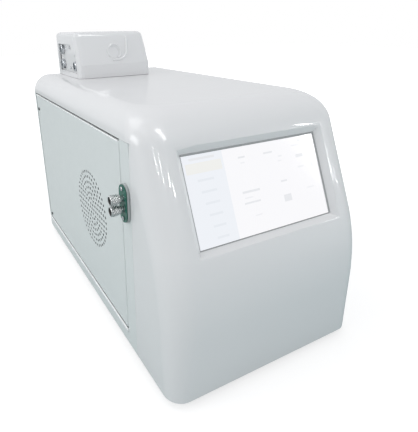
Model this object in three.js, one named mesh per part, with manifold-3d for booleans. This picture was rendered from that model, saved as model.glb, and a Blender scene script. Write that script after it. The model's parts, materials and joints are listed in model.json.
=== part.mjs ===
// Total organic carbon analyzer: a bench instrument with a moulded hood, a side door and a touch display.
// Millimetres, +Z up, the front faces -Y and the door is on the -X side.
// Pieces are modelled with x from the left side, y from the front's foot and z from the case's lower edge.
import * as THREE from 'three';
import { mergeGeometries, mergeVertices } from 'three/addons/utils/BufferGeometryUtils.js';
import Module from 'manifold-3d';

const wasm = await Module();
wasm.setup();

// Case, driving sizes
const body_width = 260;
const body_depth = 474;
const body_height = 283;
const foot_height = 8;
const seat_gap = 0.3;
const cut_overrun = 2;
const sheet = 1.5;

// Hood
const hood_wall = 3;
const shoulder_radius = 28;
const bottom_corner_radius = 20;
const upper_corner_radius = 30;
const corner_blend_height = 100;
const lean_angle = THREE.MathUtils.degToRad(25);
const lean_start_share = 0.434;
const chin_share = 0.7067;
const brow_share = 0.1767;
const lean_start_height = body_height * lean_start_share;
const chin_radius = body_height * chin_share;
const brow_radius = body_height * brow_share;
const seam_depth = 84;
const hood_skirt_height = body_height - shoulder_radius;

// Display
const screen_width = 174;
const screen_height_share = 0.3269;
const screen_centre_share = 0.7166;
const screen_height = body_height * screen_height_share;
const screen_face_height = body_height * screen_centre_share;
const recess_depth = 6.6;
const recess_margin = 6.6;
const recess_lip = 4;
const funnel_top = 1.2;
const glass_overlap = 3.5;
const glass_thickness = 2.5;
const panel_overlap = 4;
const panel_back_share = 0.57;
const panel_thickness = 8;
const boss_radius = 4;
const boss_inset = 6;
const boss_rise_share = 0.32;

// Left frame and door
const strip_edge = 105.3;
const door_gap = 2.2;
const door_top_gap = 2.5;
const sill_height = 20;
const door_rear_inset = 8;
const door_rear_edge = body_depth - door_rear_inset;
const door_rear_gap = 3.2;
const jamb_depth = 25;
const head_inset = 3.5;
const door_depth = 12;
const door_skin = 1.2;
const sill_bead_height = 2;
const sill_bead_proud = 1.2;
const sill_bead_drop = 1;
const vent_y = 207;
const vent_height_share = 0.5;
const vent_z = body_height * vent_height_share;
const vent_rings = 7;
const vent_ring_pitch = 7.1;
const vent_holes_per_ring = 6;
const vent_hole_radius = 1.45;
const pivot_x = 8;
const pivot_inset = 11;
const pivot_y = door_rear_edge - pivot_inset;
const pin_radius = 2.5;
const pin_head_radius = 4;
const pin_head_height = 1.2;
const pin_reach = 9;
const rail_width = 9;
const rail_knuckle = 14;
const hinge_screw_radius = 2.6;
const hinge_screw_height = 0.9;
const hinge_screw_drop = 26;
const hinge_screw_rise = 11;

// Port plate and fittings
const port_y = 94;
const port_height_share = 0.6763;
const port_z = body_height * port_height_share;
const port_width = 19;
const port_length = 42;
const port_boss_thickness = 2.7;
const port_face_thickness = 1;
const port_face_inset = 0.4;
const port_screw_radius = 1.9;
const port_screw_height = 0.8;
const port_screw_reach = 15.6;
const union_radius = 3;
const union_spacing = 11.8;
const union_inner_reach = 14;
const union_flange_radius = 5;
const union_flange_length = 3;
const nut_inner_radius = 4.7;
const nut_outer_radius = 5.4;
const nut_length = 11.5;
const nut_standoff = 2.6;
const nut_socket_radius = 4.2;
const nut_socket_depth = 2.5;
const nut_wall = 1.4;
const union_nose = 1.5;

// Base tray, feet, panels
const tray_flange_height = 12;
const foot_radius = 10;
const foot_taper = 2;
const foot_inset_x = 34;
const foot_front_y = 44;
const foot_rear_inset = 44;
const foot_rear_y = body_depth - foot_rear_inset;
const rear_panel_recess = 1.2;
const rear_flange_height = 14;
const louvre_count = 14;
const louvre_rows = 2;
const louvre_length = 70;
const louvre_width = 3;
const louvre_pitch = 9;
const louvre_first_z = 60;
const louvre_first_y = 190;
const louvre_row_gap = 30;
const screw_head_radius = 3.2;
const screw_head_height = 1.6;
const screw_edge_inset = 12;
const side_screw_low_z = 16;

// Partition
const partition_share = 0.5077;
const partition_x = body_width * partition_share;
const partition_front_y = 100;
const partition_rear_gap = 6;
const partition_top_gap = 47;
const partition_height = body_height - partition_top_gap;
const partition_foot = 14;

// Fans
const door_fan_size = 119;
const door_fan_depth = 25;
const door_fan_bore = 55;
const door_hub_radius = 19;
const rear_fan_size = 80;
const rear_fan_depth = 25;
const rear_fan_bore = 37.5;
const rear_hub_radius = 14;
const rear_fan_inset = 60;
const rear_fan_x = body_width - rear_fan_inset;
const rear_fan_drop = 97;
const rear_fan_z = body_height - rear_fan_drop;
const fan_blade_count = 7;
const fan_blade_thickness = 1.6;
const fan_blade_clearance = 2;
const fan_blade_pitch = THREE.MathUtils.degToRad(38);
const fan_blade_span_share = 0.9;
const fan_strut_width = 5;
const fan_strut_thickness = 3;
const fan_strut_count = 4;
const fan_spindle_radius = 2;
const fan_spindle_gap = 0.3;
const guard_ring_count = 3;
const guard_ring_pitch = 10;
const guard_first_radius = 13;
const guard_wire = 1.8;
const guard_arm_reach_share = 0.94;

// Mains inlet, switch, sockets and fittings on the rear panel
const inlet_inset = 44;
const inlet_x = body_width - inlet_inset;
const inlet_z = 44;
const inlet_flange_width = 50;
const inlet_flange_height = 30;
const inlet_flange_thickness = 2.4;
const inlet_body_width = 30;
const inlet_body_height = 24;
const inlet_body_depth = 24;
const inlet_socket_width = 23;
const inlet_socket_height = 16;
const inlet_socket_depth = 16;
const inlet_pin_length = 9;
const inlet_pin_width = 2;
const inlet_pin_height = 4;
const inlet_pin_spacing = 7;
const inlet_pin_rise = 2.5;
const fuse_inlet_spacing = 43;
const fuse_x = inlet_x - fuse_inlet_spacing;
const fuse_width = 24;
const fuse_height = 14;
const fuse_depth = 22;
const fuse_face = 2;
const fuse_face_margin = 2;
const fuse_grip = 3;
const fuse_sleeve_wall = 2;
const switch_x = inlet_x;
const switch_z = 84;
const switch_width = 28;
const switch_height = 22;
const switch_wall = 2.5;
const switch_depth = 18;
const rocker_clearance = 0.6;
const rocker_axis_depth = 5;
const rocker_radius = 8;
const rocker_width = 16;
const rocker_rest_angle = THREE.MathUtils.degToRad(10);
const rocker_pin_radius = 1.6;
const rocker_waist_share = 0.5;
const rocker_lip_share = 0.75;
const rocker_valley_share = 0.82;
const data_switch_spacing = 40;
const data_x = switch_x - data_switch_spacing;
const data_z = 82;
const data_width = 40;
const data_height = 18;
const data_depth = 16;
const data_flange = 3;
const data_wall = 1.6;
const lan_width = 14;
const lan_height = 11;
const lan_depth = 12;
const usb_width = 13;
const usb_height = 5.4;
const usb_depth = 3.5;
const waste_x_first = 44;
const waste_spacing = 26;
const waste_z = 44;
const waste_flange_radius = 8;
const waste_flange_length = 4;
const waste_stem_radius = 3.4;
const waste_stem_length = 16;
const waste_barb_radius = 4.4;
const waste_barb_length = 3.2;
const waste_barb_shares = [0.4, 0.65];
const waste_plate = 1.5;
const waste_inner_reach = 14;
const waste_count = 2;

function makeWasteOutlet() {
  const face = rear_face + seat_gap;
  const places = wastePlaces();
  const plate = block(
    [places[0][0] - waste_flange_radius, face, waste_z - waste_flange_radius],
    [places[waste_count - 1][0] + waste_flange_radius, face + waste_plate, waste_z + waste_flange_radius],
  );
  const fittings = places.map((place) => joined(
    bar('y', waste_flange_radius, face + waste_plate / 2, face + waste_flange_length, place, hole_sides),
    bar('y', waste_stem_radius, face - waste_inner_reach, face + waste_stem_length, place, small_sides),
    waste_barb_shares.map((share) => {
      const from = face + waste_stem_length * share;
      return bar('y', waste_barb_radius, from, from + waste_barb_length, place, small_sides, waste_stem_radius);
    }),
  ));
  return joined(plate, fittings);
}

// Top module
const module_left = 47;
const module_right = 168.5;
const module_length = 118.5;
const module_rear_overhang = 8;
const module_rear = body_depth + module_rear_overhang;
const module_front = module_rear - module_length;
const module_height = 66;
const module_band_height = 19.5;
const module_right_slope = 6;
const module_front_slope = 14;
const module_rear_slope = 1;
const module_edge_radius = 6;
const module_corner_radius = 9;
const module_wall = 2.5;
const module_window_inset = 9;
const module_window_rear_inset = 16;
const module_window_step_length = 24;
const module_window_lean = 4;
const module_window_front = module_front + module_window_inset;
const module_window_step = module_window_front + module_window_step_length;
const module_window_rear = module_rear - module_window_rear_inset;
const module_window_low = 7;
const module_window_middle = 36;
const module_window_high = 48.5;
const module_plate_gap = 1.3;
const module_plate_overlap = 1.5;
const module_plate_thickness = 1.5;
const connector_radius = 7.4;
const connector_flat_radius = 5;
const connector_height = 5;
const connector_rim_share = 0.8;
const connector_hole_depth = 3.4;
const connector_stem_radius = 6;
const connector_stem_length = 8;
const connector_rear_inset = 33;
const connector_front_inset = 18;
const connector_rear_y = module_rear - connector_rear_inset;
const connector_front_y = module_front + connector_front_inset;
const connector_high_z = 39.8;
const connector_low_z = 17.4;
const module_screw_radius = 2;
const module_screw_height = 0.9;
const module_screw_places = [[47, 43.5], [17, 31.5], [49, 13]];
const dimple_z = 37;
const dimple_radius = 11;
const dimple_depth = 1.1;
const dimple_floor_share = 0.7;

// Wet side
const pump_rear_gap = 66;
const pump_drop = 60;
const syringe_rear_gap = 78;
const syringe_first_y = body_depth - syringe_rear_gap;
const pump_y = syringe_first_y - pump_rear_gap;
const pump_z = partition_height - pump_drop;
const pump_size = 60;
const pump_depth = 34;
const pump_back = 6;
const pump_bore = 24;
const pump_rotor_radius = 12;
const pump_roller_radius = 4;
const pump_roller_orbit = 15.4;
const pump_roller_count = 4;
const pump_rotor_plate = 2;
const pump_shaft_radius = 2.5;
const pump_tube_radius = 1.7;
const pump_tube_orbit = 21.7;
const pump_slot_width = 5;
const pump_motor_radius = 18;
const pump_motor_length = 44;
const syringe_spacing = 38;
const syringe_width = 34;
const syringe_back = 14;
const syringe_drop = 16;
const syringe_length = 160;
const syringe_high_z = partition_height - syringe_drop;
const syringe_low_z = syringe_high_z - syringe_length;
const syringe_valve_height = 34;
const syringe_valve_reach = 40;
const syringe_axis_reach = 26;
const syringe_barrel_radius = 6;
const syringe_bore_radius = 4.6;
const syringe_barrel_length = 62;
const syringe_rod_radius = 2.2;
const syringe_piston_length = 6;
const syringe_piston_clearance = 0.15;
const syringe_carriage_height = 12;
const syringe_carriage_half = 9;
const syringe_carriage_drop = 14;
const syringe_nose_radius = 3;
const reactor_radius = 16;
const reactor_cap_radius = 17.5;
const reactor_cap_length = 12;
const reactor_drop = 14;
const reactor_front_gap = 30;
const reactor_rear_gap = 50;
const reactor_from = partition_front_y + reactor_front_gap;
const reactor_to = pump_y - reactor_rear_gap;
const reactor_length = reactor_to - reactor_from;
const reactor_y = (reactor_from + reactor_to) / 2;
const reactor_z = partition_height - reactor_drop;
const reactor_standoff = 26;
const clip_width = 12;
const clip_wall = 3;
const clip_share = 0.3;
const cell_pump_offset = 18;
const cell_drop = 88;
const cell_y = pump_y - cell_pump_offset;
const cell_z = pump_z - cell_drop;
const cell_length = 58;
const cell_height = 34;
const cell_depth = 30;
const cell_probe_radius = 7;
const cell_probe_length = 16;
const cell_probe_spacing = 28;
const bottle_x = 72;
const bottle_first_y = 150;
const bottle_spacing = 66;
const bottle_count = 2;
const bottle_size = 56;
const bottle_corner = 10;
const bottle_height = 104;
const bottle_neck_radius = 13;
const bottle_neck_height = 14;
const bottle_shoulder = 10;
const bottle_wall = 1.6;
const cap_radius = 16;
const cap_height = 16;
const cap_wall = 2;
const cap_grip_count = 16;
const drip_wall = 2;
const drip_height = 14;
const drip_margin = 4;
const tube_sides = 6;
const tube_steps = 28;

// Electronics side
const supply_side_gap = 14;
const supply_partition_gap = 24;
const supply_x = partition_x + supply_partition_gap;
const supply_rear_gap = 224;
const supply_y = body_depth - supply_rear_gap;
const supply_width = body_width - supply_side_gap - supply_x;
const supply_length = 150;
const supply_height = 42;
const board_front_gap = 50;
const board_rear_gap = 30;
const board_drop = 152;
const board_top_gap = 42;
const board_y = partition_front_y + board_front_gap;
const board_z = partition_height - board_drop;
const board_length = pump_y - board_rear_gap - board_y;
const board_height = partition_height - board_top_gap - board_z;
const board_thickness = 1.6;
const board_standoff = 8;
const board_chip_height = 6;
const board_chip_size = 22;
const board_chip_places_shares = [[0.3, 0.35], [0.6, 0.7], [0.8, 0.25]];

// Facet counts
const corner_steps = 6;
const round_sides = 20;
const small_sides = 12;
const hole_sides = 6;
const full_turn = Math.PI * 2;

// Places worked out from the sizes above
const strip_front = seam_depth + seat_gap;
const sheet_top = hood_skirt_height - seat_gap;
const door_front_edge = strip_edge + door_gap;
const door_low = sill_height + door_gap;
const door_high = hood_skirt_height - door_top_gap;
const opening_rear = door_rear_edge + door_rear_gap;
const rear_face = body_depth - rear_panel_recess;
const rear_inner = rear_face - sheet;
const tray_top = sheet;
const partition_right = partition_x + sheet;
const boss_face_x = -seat_gap - port_boss_thickness;
const port_face_x = boss_face_x - seat_gap - port_face_thickness;
const nut_inner_x = port_face_x - nut_standoff;
const nut_outer_x = nut_inner_x - nut_length;
const module_x = (module_left + module_right) / 2;
const bearing_radius = pin_radius + seat_gap;

// Solids from closed geometries, and what joins and cuts them
function toSolid(geometry) {
  const bare = geometry.clone();
  bare.deleteAttribute('normal');
  bare.deleteAttribute('uv');
  const merged = mergeVertices(bare);
  return new wasm.Manifold(new wasm.Mesh({
    numProp: 3,
    vertProperties: new Float32Array(merged.attributes.position.array),
    triVerts: new Uint32Array(merged.index.array),
  }));
}

function toGeometry(manifold) {
  const mesh = manifold.getMesh();
  const geometry = new THREE.BufferGeometry();
  geometry.setAttribute('position', new THREE.BufferAttribute(mesh.vertProperties.slice(), 3));
  geometry.setIndex(new THREE.BufferAttribute(mesh.triVerts.slice(), 1));
  geometry.computeVertexNormals();
  return geometry;
}

function joined(...solids) {
  return solids.flat().reduce((whole, next) => whole.add(next));
}

function cut(body, ...tools) {
  return tools.flat().reduce((whole, tool) => whole.subtract(tool), body);
}

// A box between two corners
function block(low, high) {
  const size = high.map((value, axis) => value - low[axis]);
  const geometry = new THREE.BoxGeometry(...size);
  geometry.translate(...low.map((value, axis) => value + size[axis] / 2));
  return toSolid(geometry);
}

// Turns a geometry made along +Y so that its length runs along the named axis
function alongAxis(geometry, axis) {
  if (axis === 'x') geometry.rotateZ(-Math.PI / 2);
  if (axis === 'z') geometry.rotateX(Math.PI / 2);
  return geometry;
}

// A round bar from one place to another along an axis; centre gives the two other coordinates
function bar(axis, radius, from, to, centre, sides = round_sides, end_radius = radius) {
  const low = Math.min(from, to);
  const length = Math.abs(to - from);
  const at_low = from < to ? radius : end_radius;
  const at_high = from < to ? end_radius : radius;
  const geometry = new THREE.CylinderGeometry(at_high, at_low, length, sides);
  alongAxis(geometry, axis);
  const middle = low + length / 2;
  if (axis === 'x') geometry.translate(middle, centre[0], centre[1]);
  if (axis === 'y') geometry.translate(centre[0], middle, centre[1]);
  if (axis === 'z') geometry.translate(centre[0], centre[1], middle);
  return toSolid(geometry);
}

// A flat outline extruded along an axis; points are (y, z) for x, (x, z) for y and (x, y) for z
function slab(axis, points, from, to) {
  const shape = new THREE.Shape(points.map(([a, b]) => new THREE.Vector2(a, b)));
  const geometry = new THREE.ExtrudeGeometry(shape, { depth: to - from, bevelEnabled: false });
  const basis = new THREE.Matrix4();
  if (axis === 'x') basis.set(0, 0, 1, from, 1, 0, 0, 0, 0, 1, 0, 0, 0, 0, 0, 1);
  if (axis === 'y') basis.set(1, 0, 0, 0, 0, 0, -1, to, 0, 1, 0, 0, 0, 0, 0, 1);
  if (axis === 'z') basis.set(1, 0, 0, 0, 0, 1, 0, 0, 0, 0, 1, from, 0, 0, 0, 1);
  geometry.applyMatrix4(basis);
  return toSolid(geometry);
}

// Points of a rectangle with round corners
function roundedRectangle(low_a, high_a, low_b, high_b, radius, steps = corner_steps) {
  const centres = [
    [high_a - radius, high_b - radius],
    [low_a + radius, high_b - radius],
    [low_a + radius, low_b + radius],
    [high_a - radius, low_b + radius],
  ];
  const points = [];
  centres.forEach(([a, b], corner) => {
    for (let step = 0; step <= steps; step += 1) {
      const angle = (corner + step / steps) * Math.PI / 2;
      points.push([a + radius * Math.cos(angle), b + radius * Math.sin(angle)]);
    }
  });
  return points;
}

// A closed skin over a stack of rings with equal point counts, each ring counter-clockwise seen from above
function loft(rings) {
  const count = rings[0].length;
  const positions = rings.flat().flatMap((point) => point);
  const faces = [];
  for (let level = 0; level < rings.length - 1; level += 1) {
    for (let index = 0; index < count; index += 1) {
      const next = (index + 1) % count;
      const a = level * count + index;
      const b = level * count + next;
      faces.push(a, b, b + count, a, b + count, a + count);
    }
  }
  const top = (rings.length - 1) * count;
  for (let index = 1; index < count - 1; index += 1) {
    faces.push(0, index + 1, index);
    faces.push(top, top + index, top + index + 1);
  }
  const geometry = new THREE.BufferGeometry();
  geometry.setAttribute('position', new THREE.Float32BufferAttribute(positions, 3));
  geometry.setIndex(faces);
  return toSolid(geometry);
}

// A turned piece on an axis, from a profile of radius and place that closes on itself or on the axis
function turned(axis, profile, centre, sides = round_sides) {
  const points = profile.map(([radius, place]) => new THREE.Vector2(radius, place));
  const geometry = alongAxis(new THREE.LatheGeometry(points, sides), axis);
  if (axis === 'x') geometry.translate(0, centre[0], centre[1]);
  if (axis === 'y') geometry.translate(centre[0], 0, centre[1]);
  if (axis === 'z') geometry.translate(centre[0], centre[1], 0);
  const solid = toSolid(geometry);
  return solid.volume() < 0 ? toSolid(turnedInsideOut(geometry)) : solid;
}

function turnedInsideOut(geometry) {
  const flipped = geometry.clone();
  const index = flipped.index.array;
  for (let corner = 0; corner < index.length; corner += 3) {
    const kept = index[corner];
    index[corner] = index[corner + 1];
    index[corner + 1] = kept;
  }
  return flipped;
}

// Turns a piece modelled round an axis through the origin and moves it to its place
function turnedTo(geometry, axis, angle, centre) {
  const turn = { x: 'rotateX', y: 'rotateY', z: 'rotateZ' }[axis];
  geometry[turn](angle);
  geometry.translate(...centre);
  return toSolid(geometry);
}

// The hood's outer skin, and its inner one at a wall's distance
function frontEdge(height, wall) {
  const chin_start = lean_start_height - chin_radius * Math.tan(lean_angle / 2);
  const chin_rise = (chin_radius - wall) * Math.sin(lean_angle);
  const brow_centre_z = body_height - brow_radius;
  const brow_start_z = brow_centre_z + brow_radius * Math.sin(lean_angle);
  const brow_start_y = (brow_start_z - lean_start_height) * Math.tan(lean_angle);
  const brow_centre_y = brow_start_y + brow_radius * Math.cos(lean_angle);
  if (height < chin_start) return wall;
  if (height < chin_start + chin_rise) {
    return chin_radius - Math.sqrt((chin_radius - wall) ** 2 - (height - chin_start) ** 2);
  }
  if (height < brow_centre_z + (brow_radius - wall) * Math.sin(lean_angle)) {
    return (height - lean_start_height) * Math.tan(lean_angle) + wall / Math.cos(lean_angle);
  }
  const reach = Math.max((brow_radius - wall) ** 2 - (height - brow_centre_z) ** 2, 0);
  return brow_centre_y - Math.sqrt(reach);
}

function sideEdge(height, wall) {
  const shoulder_start = body_height - shoulder_radius;
  if (height < shoulder_start) return wall;
  const reach = Math.max((shoulder_radius - wall) ** 2 - (height - shoulder_start) ** 2, 0);
  return shoulder_radius - Math.sqrt(reach);
}

function hoodRing(height, wall, rear) {
  const side = sideEdge(height, wall);
  const front = frontEdge(height, wall);
  const blend = Math.min(Math.max(height / corner_blend_height, 0), 1);
  const corner = THREE.MathUtils.lerp(bottom_corner_radius, upper_corner_radius, blend) - wall;
  const ring = [[side, rear, height]];
  for (let step = 0; step <= corner_steps; step += 1) {
    const angle = Math.PI + (step / corner_steps) * Math.PI / 2;
    ring.push([side + corner + corner * Math.cos(angle), front + corner + corner * Math.sin(angle), height]);
  }
  for (let step = 0; step <= corner_steps; step += 1) {
    const angle = Math.PI * 1.5 + (step / corner_steps) * Math.PI / 2;
    const x = body_width - side - corner + corner * Math.cos(angle);
    ring.push([x, front + corner + corner * Math.sin(angle), height]);
  }
  ring.push([body_width - side, rear, height]);
  return ring;
}

function hoodSkin(wall, low, rear) {
  const chin_start = lean_start_height - chin_radius * Math.tan(lean_angle / 2);
  const brow_centre_z = body_height - brow_radius;
  const shoulder_start = body_height - shoulder_radius;
  const levels = [low, corner_blend_height / 2];
  for (let step = 0; step <= corner_steps; step += 1) {
    levels.push(chin_start + (chin_radius - wall) * Math.sin(lean_angle * step / corner_steps));
  }
  levels.push(brow_centre_z + (brow_radius - wall) * Math.sin(lean_angle));
  for (let step = 1; step <= corner_steps; step += 1) {
    levels.push(shoulder_start + (shoulder_radius - wall) * Math.sin(step / corner_steps * Math.PI / 2));
  }
  levels.sort((a, b) => a - b);
  return loft(levels.map((height) => hoodRing(height, wall, rear)));
}

// Places a geometry made in the display's frame: u across, v up the face, n out of it
function onFace(geometry) {
  const sine = Math.sin(lean_angle);
  const cosine = Math.cos(lean_angle);
  const y = (screen_face_height - lean_start_height) * Math.tan(lean_angle);
  const matrix = new THREE.Matrix4();
  matrix.set(1, 0, 0, body_width / 2, 0, sine, -cosine, y, 0, cosine, sine, screen_face_height, 0, 0, 0, 1);
  geometry.applyMatrix4(matrix);
  return toSolid(geometry);
}

function faceBox(width, height, near, far, u = 0, v = 0) {
  const geometry = new THREE.BoxGeometry(width, height, near - far);
  geometry.translate(u, v, (near + far) / 2);
  return onFace(geometry);
}

function faceBar(radius, near, far, u, v) {
  const geometry = new THREE.CylinderGeometry(radius, radius, near - far, small_sides);
  geometry.rotateX(Math.PI / 2);
  geometry.translate(u, v, (near + far) / 2);
  return onFace(geometry);
}

// A four-sided funnel in the display's frame, from its far rectangle to its near one
function faceFunnel(far_half, near_half, far, near) {
  const ring = ([half_u, half_v], n) => [
    [-half_u, -half_v, n], [half_u, -half_v, n], [half_u, half_v, n], [-half_u, half_v, n],
  ];
  const positions = [...ring(far_half, far), ...ring(near_half, near)].flat();
  const faces = [0, 2, 1, 0, 3, 2, 4, 5, 6, 4, 6, 7];
  for (let side = 0; side < 4; side += 1) {
    const next = (side + 1) % 4;
    faces.push(side, next, next + 4, side, next + 4, side + 4);
  }
  const geometry = new THREE.BufferGeometry();
  geometry.setAttribute('position', new THREE.Float32BufferAttribute(positions, 3));
  geometry.setIndex(faces);
  return onFace(geometry);
}

function bossPlaces() {
  const u = screen_width / 2 + panel_overlap + boss_inset;
  const v = screen_height * boss_rise_share;
  return [[-u, -v], [u, -v], [-u, v], [u, v]];
}

function makeHood() {
  const skin = hoodSkin(0, 0, body_depth);
  const hollow = hoodSkin(hood_wall, -cut_overrun, body_depth + cut_overrun);
  const below_skirt = block(
    [-cut_overrun, seam_depth, -cut_overrun],
    [body_width + cut_overrun, body_depth + cut_overrun, hood_skirt_height],
  );
  const half = [screen_width / 2, screen_height / 2];
  const grown = (amount) => half.map((value) => value + amount);
  const slope = recess_margin / recess_depth;
  const funnel = faceFunnel(
    grown(recess_lip), grown(recess_lip + slope * (recess_depth - funnel_top)), -recess_depth, -funnel_top,
  );
  const opening = faceFunnel(half, grown(slope * (recess_depth + cut_overrun)), -recess_depth, cut_overrun);
  const window = faceBox(screen_width, screen_height, 0, -recess_depth - cut_overrun);
  const boss_depth = recess_depth + seat_gap * 2 + glass_thickness + panel_thickness;
  const bosses = bossPlaces().map(([u, v]) => faceBar(boss_radius, -hood_wall / 2, -boss_depth, u, v));
  const shell = joined(skin.subtract(hollow), funnel, bosses);
  return cut(shell.intersect(skin), below_skirt, opening, window);
}

function makeTouchGlass() {
  const near = -recess_depth - seat_gap;
  return faceBox(
    screen_width + glass_overlap * 2, screen_height + glass_overlap * 2, near, near - glass_thickness,
  );
}

// The lit panel stands on a back plate that is screwed to the hood's bosses
function makeDisplayPanel() {
  const near = -recess_depth - seat_gap * 2 - glass_thickness;
  const body_near = near - seat_gap;
  const size = [screen_width + panel_overlap * 2, screen_height + panel_overlap * 2];
  const body = faceBox(...size, near, near - panel_thickness);
  const plate_near = body_near - panel_thickness;
  const plate = faceBox(
    screen_width + (panel_overlap + boss_inset + boss_radius) * 2, screen_height * panel_back_share * 2,
    plate_near, plate_near - sheet,
  );
  const spacer = faceBox(screen_width, screen_height, plate_near + sheet, plate_near - sheet / 2);
  return joined(body, plate, spacer);
}

// The base tray follows the hood's inside at the front and the side sheets behind the seam
function makeBaseTray() {
  const side = sheet + seat_gap;
  const front = hood_wall + seat_gap;
  const corner = bottom_corner_radius - hood_wall;
  const plate_points = roundedRectangle(
    front, body_width - front, front, seam_depth, corner,
  ).filter(([, y]) => y < seam_depth - corner);
  const floor_front = slab('z', [
    [body_width - front, seam_depth], [front, seam_depth], ...plate_points,
  ], 0, tray_top);
  const floor_rear = block([side, seam_depth, 0], [body_width - side, rear_inner - seat_gap, tray_top]);
  const flange_rear = rear_inner - seat_gap - sheet;
  const left_low = [sheet + jamb_depth + seat_gap, seam_depth, 0];
  const left = block(left_low, [left_low[0] + sheet, flange_rear, tray_flange_height]);
  const right = block(
    [body_width - side - sheet, seam_depth, 0], [body_width - side, flange_rear, tray_flange_height],
  );
  const rear = block([left_low[0], flange_rear, 0], [body_width - side, flange_rear + sheet, rear_flange_height]);
  return joined(floor_front, floor_rear, left, right, rear);
}

function makeFoot(x, y) {
  return bar('z', foot_radius - foot_taper, -foot_height, -seat_gap, [x, y], round_sides, foot_radius);
}

// The frame round the door: strip, rail, post, jamb, sill and the head flange inside the hood
function makeLeftFrame() {
  const strip = block([0, strip_front, 0], [sheet, strip_edge, sheet_top]);
  const rail = block([0, strip_front, 0], [sheet, body_depth, sill_height]);
  const post = block([0, opening_rear, 0], [sheet, body_depth, sheet_top]);
  const jamb_low = [0, strip_edge - sheet, tray_top + seat_gap];
  const jamb = block([sheet / 2, jamb_low[1], jamb_low[2]], [sheet + jamb_depth, strip_edge, sheet_top]);
  const jamb_head = block([head_inset, jamb_low[1], sheet_top - sheet], [
    sheet + jamb_depth, strip_edge, hood_skirt_height + sheet + seat_gap,
  ]);
  const sill_top = sill_height;
  const sill = block([sheet / 2, jamb_low[1], sill_top - sheet], [sheet + jamb_depth, opening_rear, sill_top]);
  const sill_web = block(
    [sheet + jamb_depth - sheet - seat_gap, jamb_low[1], tray_top + seat_gap],
    [sheet + jamb_depth - seat_gap, opening_rear, sill_top],
  );
  const head_low = hood_skirt_height + seat_gap;
  const head = block([head_inset, jamb_low[1], head_low], [
    sheet + jamb_depth, opening_rear + sheet, head_low + sheet,
  ]);
  const post_return = block([sheet / 2, opening_rear, jamb_low[2]], [sheet + jamb_depth, opening_rear + sheet, sheet_top]);
  const post_head = block([head_inset, opening_rear, sheet_top - sheet], [
    sheet + jamb_depth, opening_rear + sheet, head_low + sheet,
  ]);
  const bead_top = sill_height - sill_bead_drop;
  const bead = slab('y', [
    [sheet / 2, bead_top], [-sill_bead_proud, bead_top - sill_bead_height / 4],
    [-sill_bead_proud, bead_top - sill_bead_height * 3 / 4], [sheet / 2, bead_top - sill_bead_height],
  ], strip_edge, opening_rear);
  const frame = joined(
    strip, rail, post, jamb, jamb_head, sill, sill_web, head, post_return, post_head, bead,
  );
  const pin_holes = bar(
    'z', bearing_radius, sill_height - sheet - cut_overrun, hood_skirt_height + sheet + cut_overrun,
    [pivot_x, pivot_y], small_sides,
  );
  const union_holes = unionPlaces().map((place) => (
    bar('x', union_radius + seat_gap, -cut_overrun, sheet + cut_overrun, place, small_sides)
  ));
  return cut(frame, pin_holes, union_holes);
}

// The door is a pan with its field of vent holes
function makeSideDoor() {
  const outer = block([0, door_front_edge, door_low], [door_depth, door_rear_edge, door_high]);
  const inner = block(
    [door_skin, door_front_edge + door_skin, door_low + door_skin],
    [door_depth + cut_overrun, door_rear_edge - door_skin, door_high - door_skin],
  );
  const pin_bore = bar(
    'z', bearing_radius, door_low - cut_overrun, door_high + cut_overrun, [pivot_x, pivot_y], small_sides,
  );
  return cut(outer, inner, pin_bore, ventHoles());
}

function ventHoles() {
  const holes = [];
  for (let ring = 0; ring <= vent_rings; ring += 1) {
    const count = Math.max(ring * vent_holes_per_ring, 1);
    for (let hole = 0; hole < count; hole += 1) {
      const angle = hole / count * full_turn;
      const geometry = new THREE.CylinderGeometry(
        vent_hole_radius, vent_hole_radius, door_skin + cut_overrun * 2, hole_sides,
      );
      alongAxis(geometry, 'x');
      const y = vent_y + ring * vent_ring_pitch * Math.cos(angle);
      const z = vent_z + ring * vent_ring_pitch * Math.sin(angle);
      geometry.translate(door_skin / 2, y, z);
      holes.push(geometry);
    }
  }
  return toSolid(mergeGeometries(holes));
}

// A rail inside the door's rear edge carries both pivots
function makeHingeRail() {
  const from = door_low + door_skin + seat_gap;
  const to = door_high - door_skin - seat_gap;
  const low = [door_skin + seat_gap, pivot_y - rail_width + pin_head_radius, from];
  const high = [door_depth, door_rear_edge - door_skin - seat_gap, to];
  const relief = block(
    [door_skin + seat_gap + sheet, low[1] - cut_overrun, from + rail_knuckle],
    [door_depth + cut_overrun, high[1] - sheet, to - rail_knuckle],
  );
  const bore = bar('z', bearing_radius, from - cut_overrun, to + cut_overrun, [pivot_x, pivot_y], small_sides);
  return cut(block(low, high), relief, bore);
}

function makeHingeScrew(z) {
  const from = -seat_gap - hinge_screw_height;
  return bar('x', hinge_screw_radius, from, -seat_gap, [pivot_y, z], small_sides);
}

// Each pin drops through the frame's flange into the rail, its head outside the flange
function makeUpperHingePin() {
  const place = [pivot_x, pivot_y];
  const head_z = hood_skirt_height + sheet + seat_gap * 2;
  return joined(
    bar('z', pin_radius, door_high - pin_reach, head_z + pin_head_height / 2, place, small_sides),
    bar('z', pin_head_radius, head_z, head_z + pin_head_height, place, small_sides),
  );
}

function makeLowerHingePin() {
  const place = [pivot_x, pivot_y];
  const foot_z = sill_height - sheet - seat_gap;
  return joined(
    bar('z', pin_radius, foot_z - pin_head_height / 2, door_low + pin_reach, place, small_sides),
    bar('z', pin_head_radius, foot_z - pin_head_height, foot_z, place, small_sides),
  );
}

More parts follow.
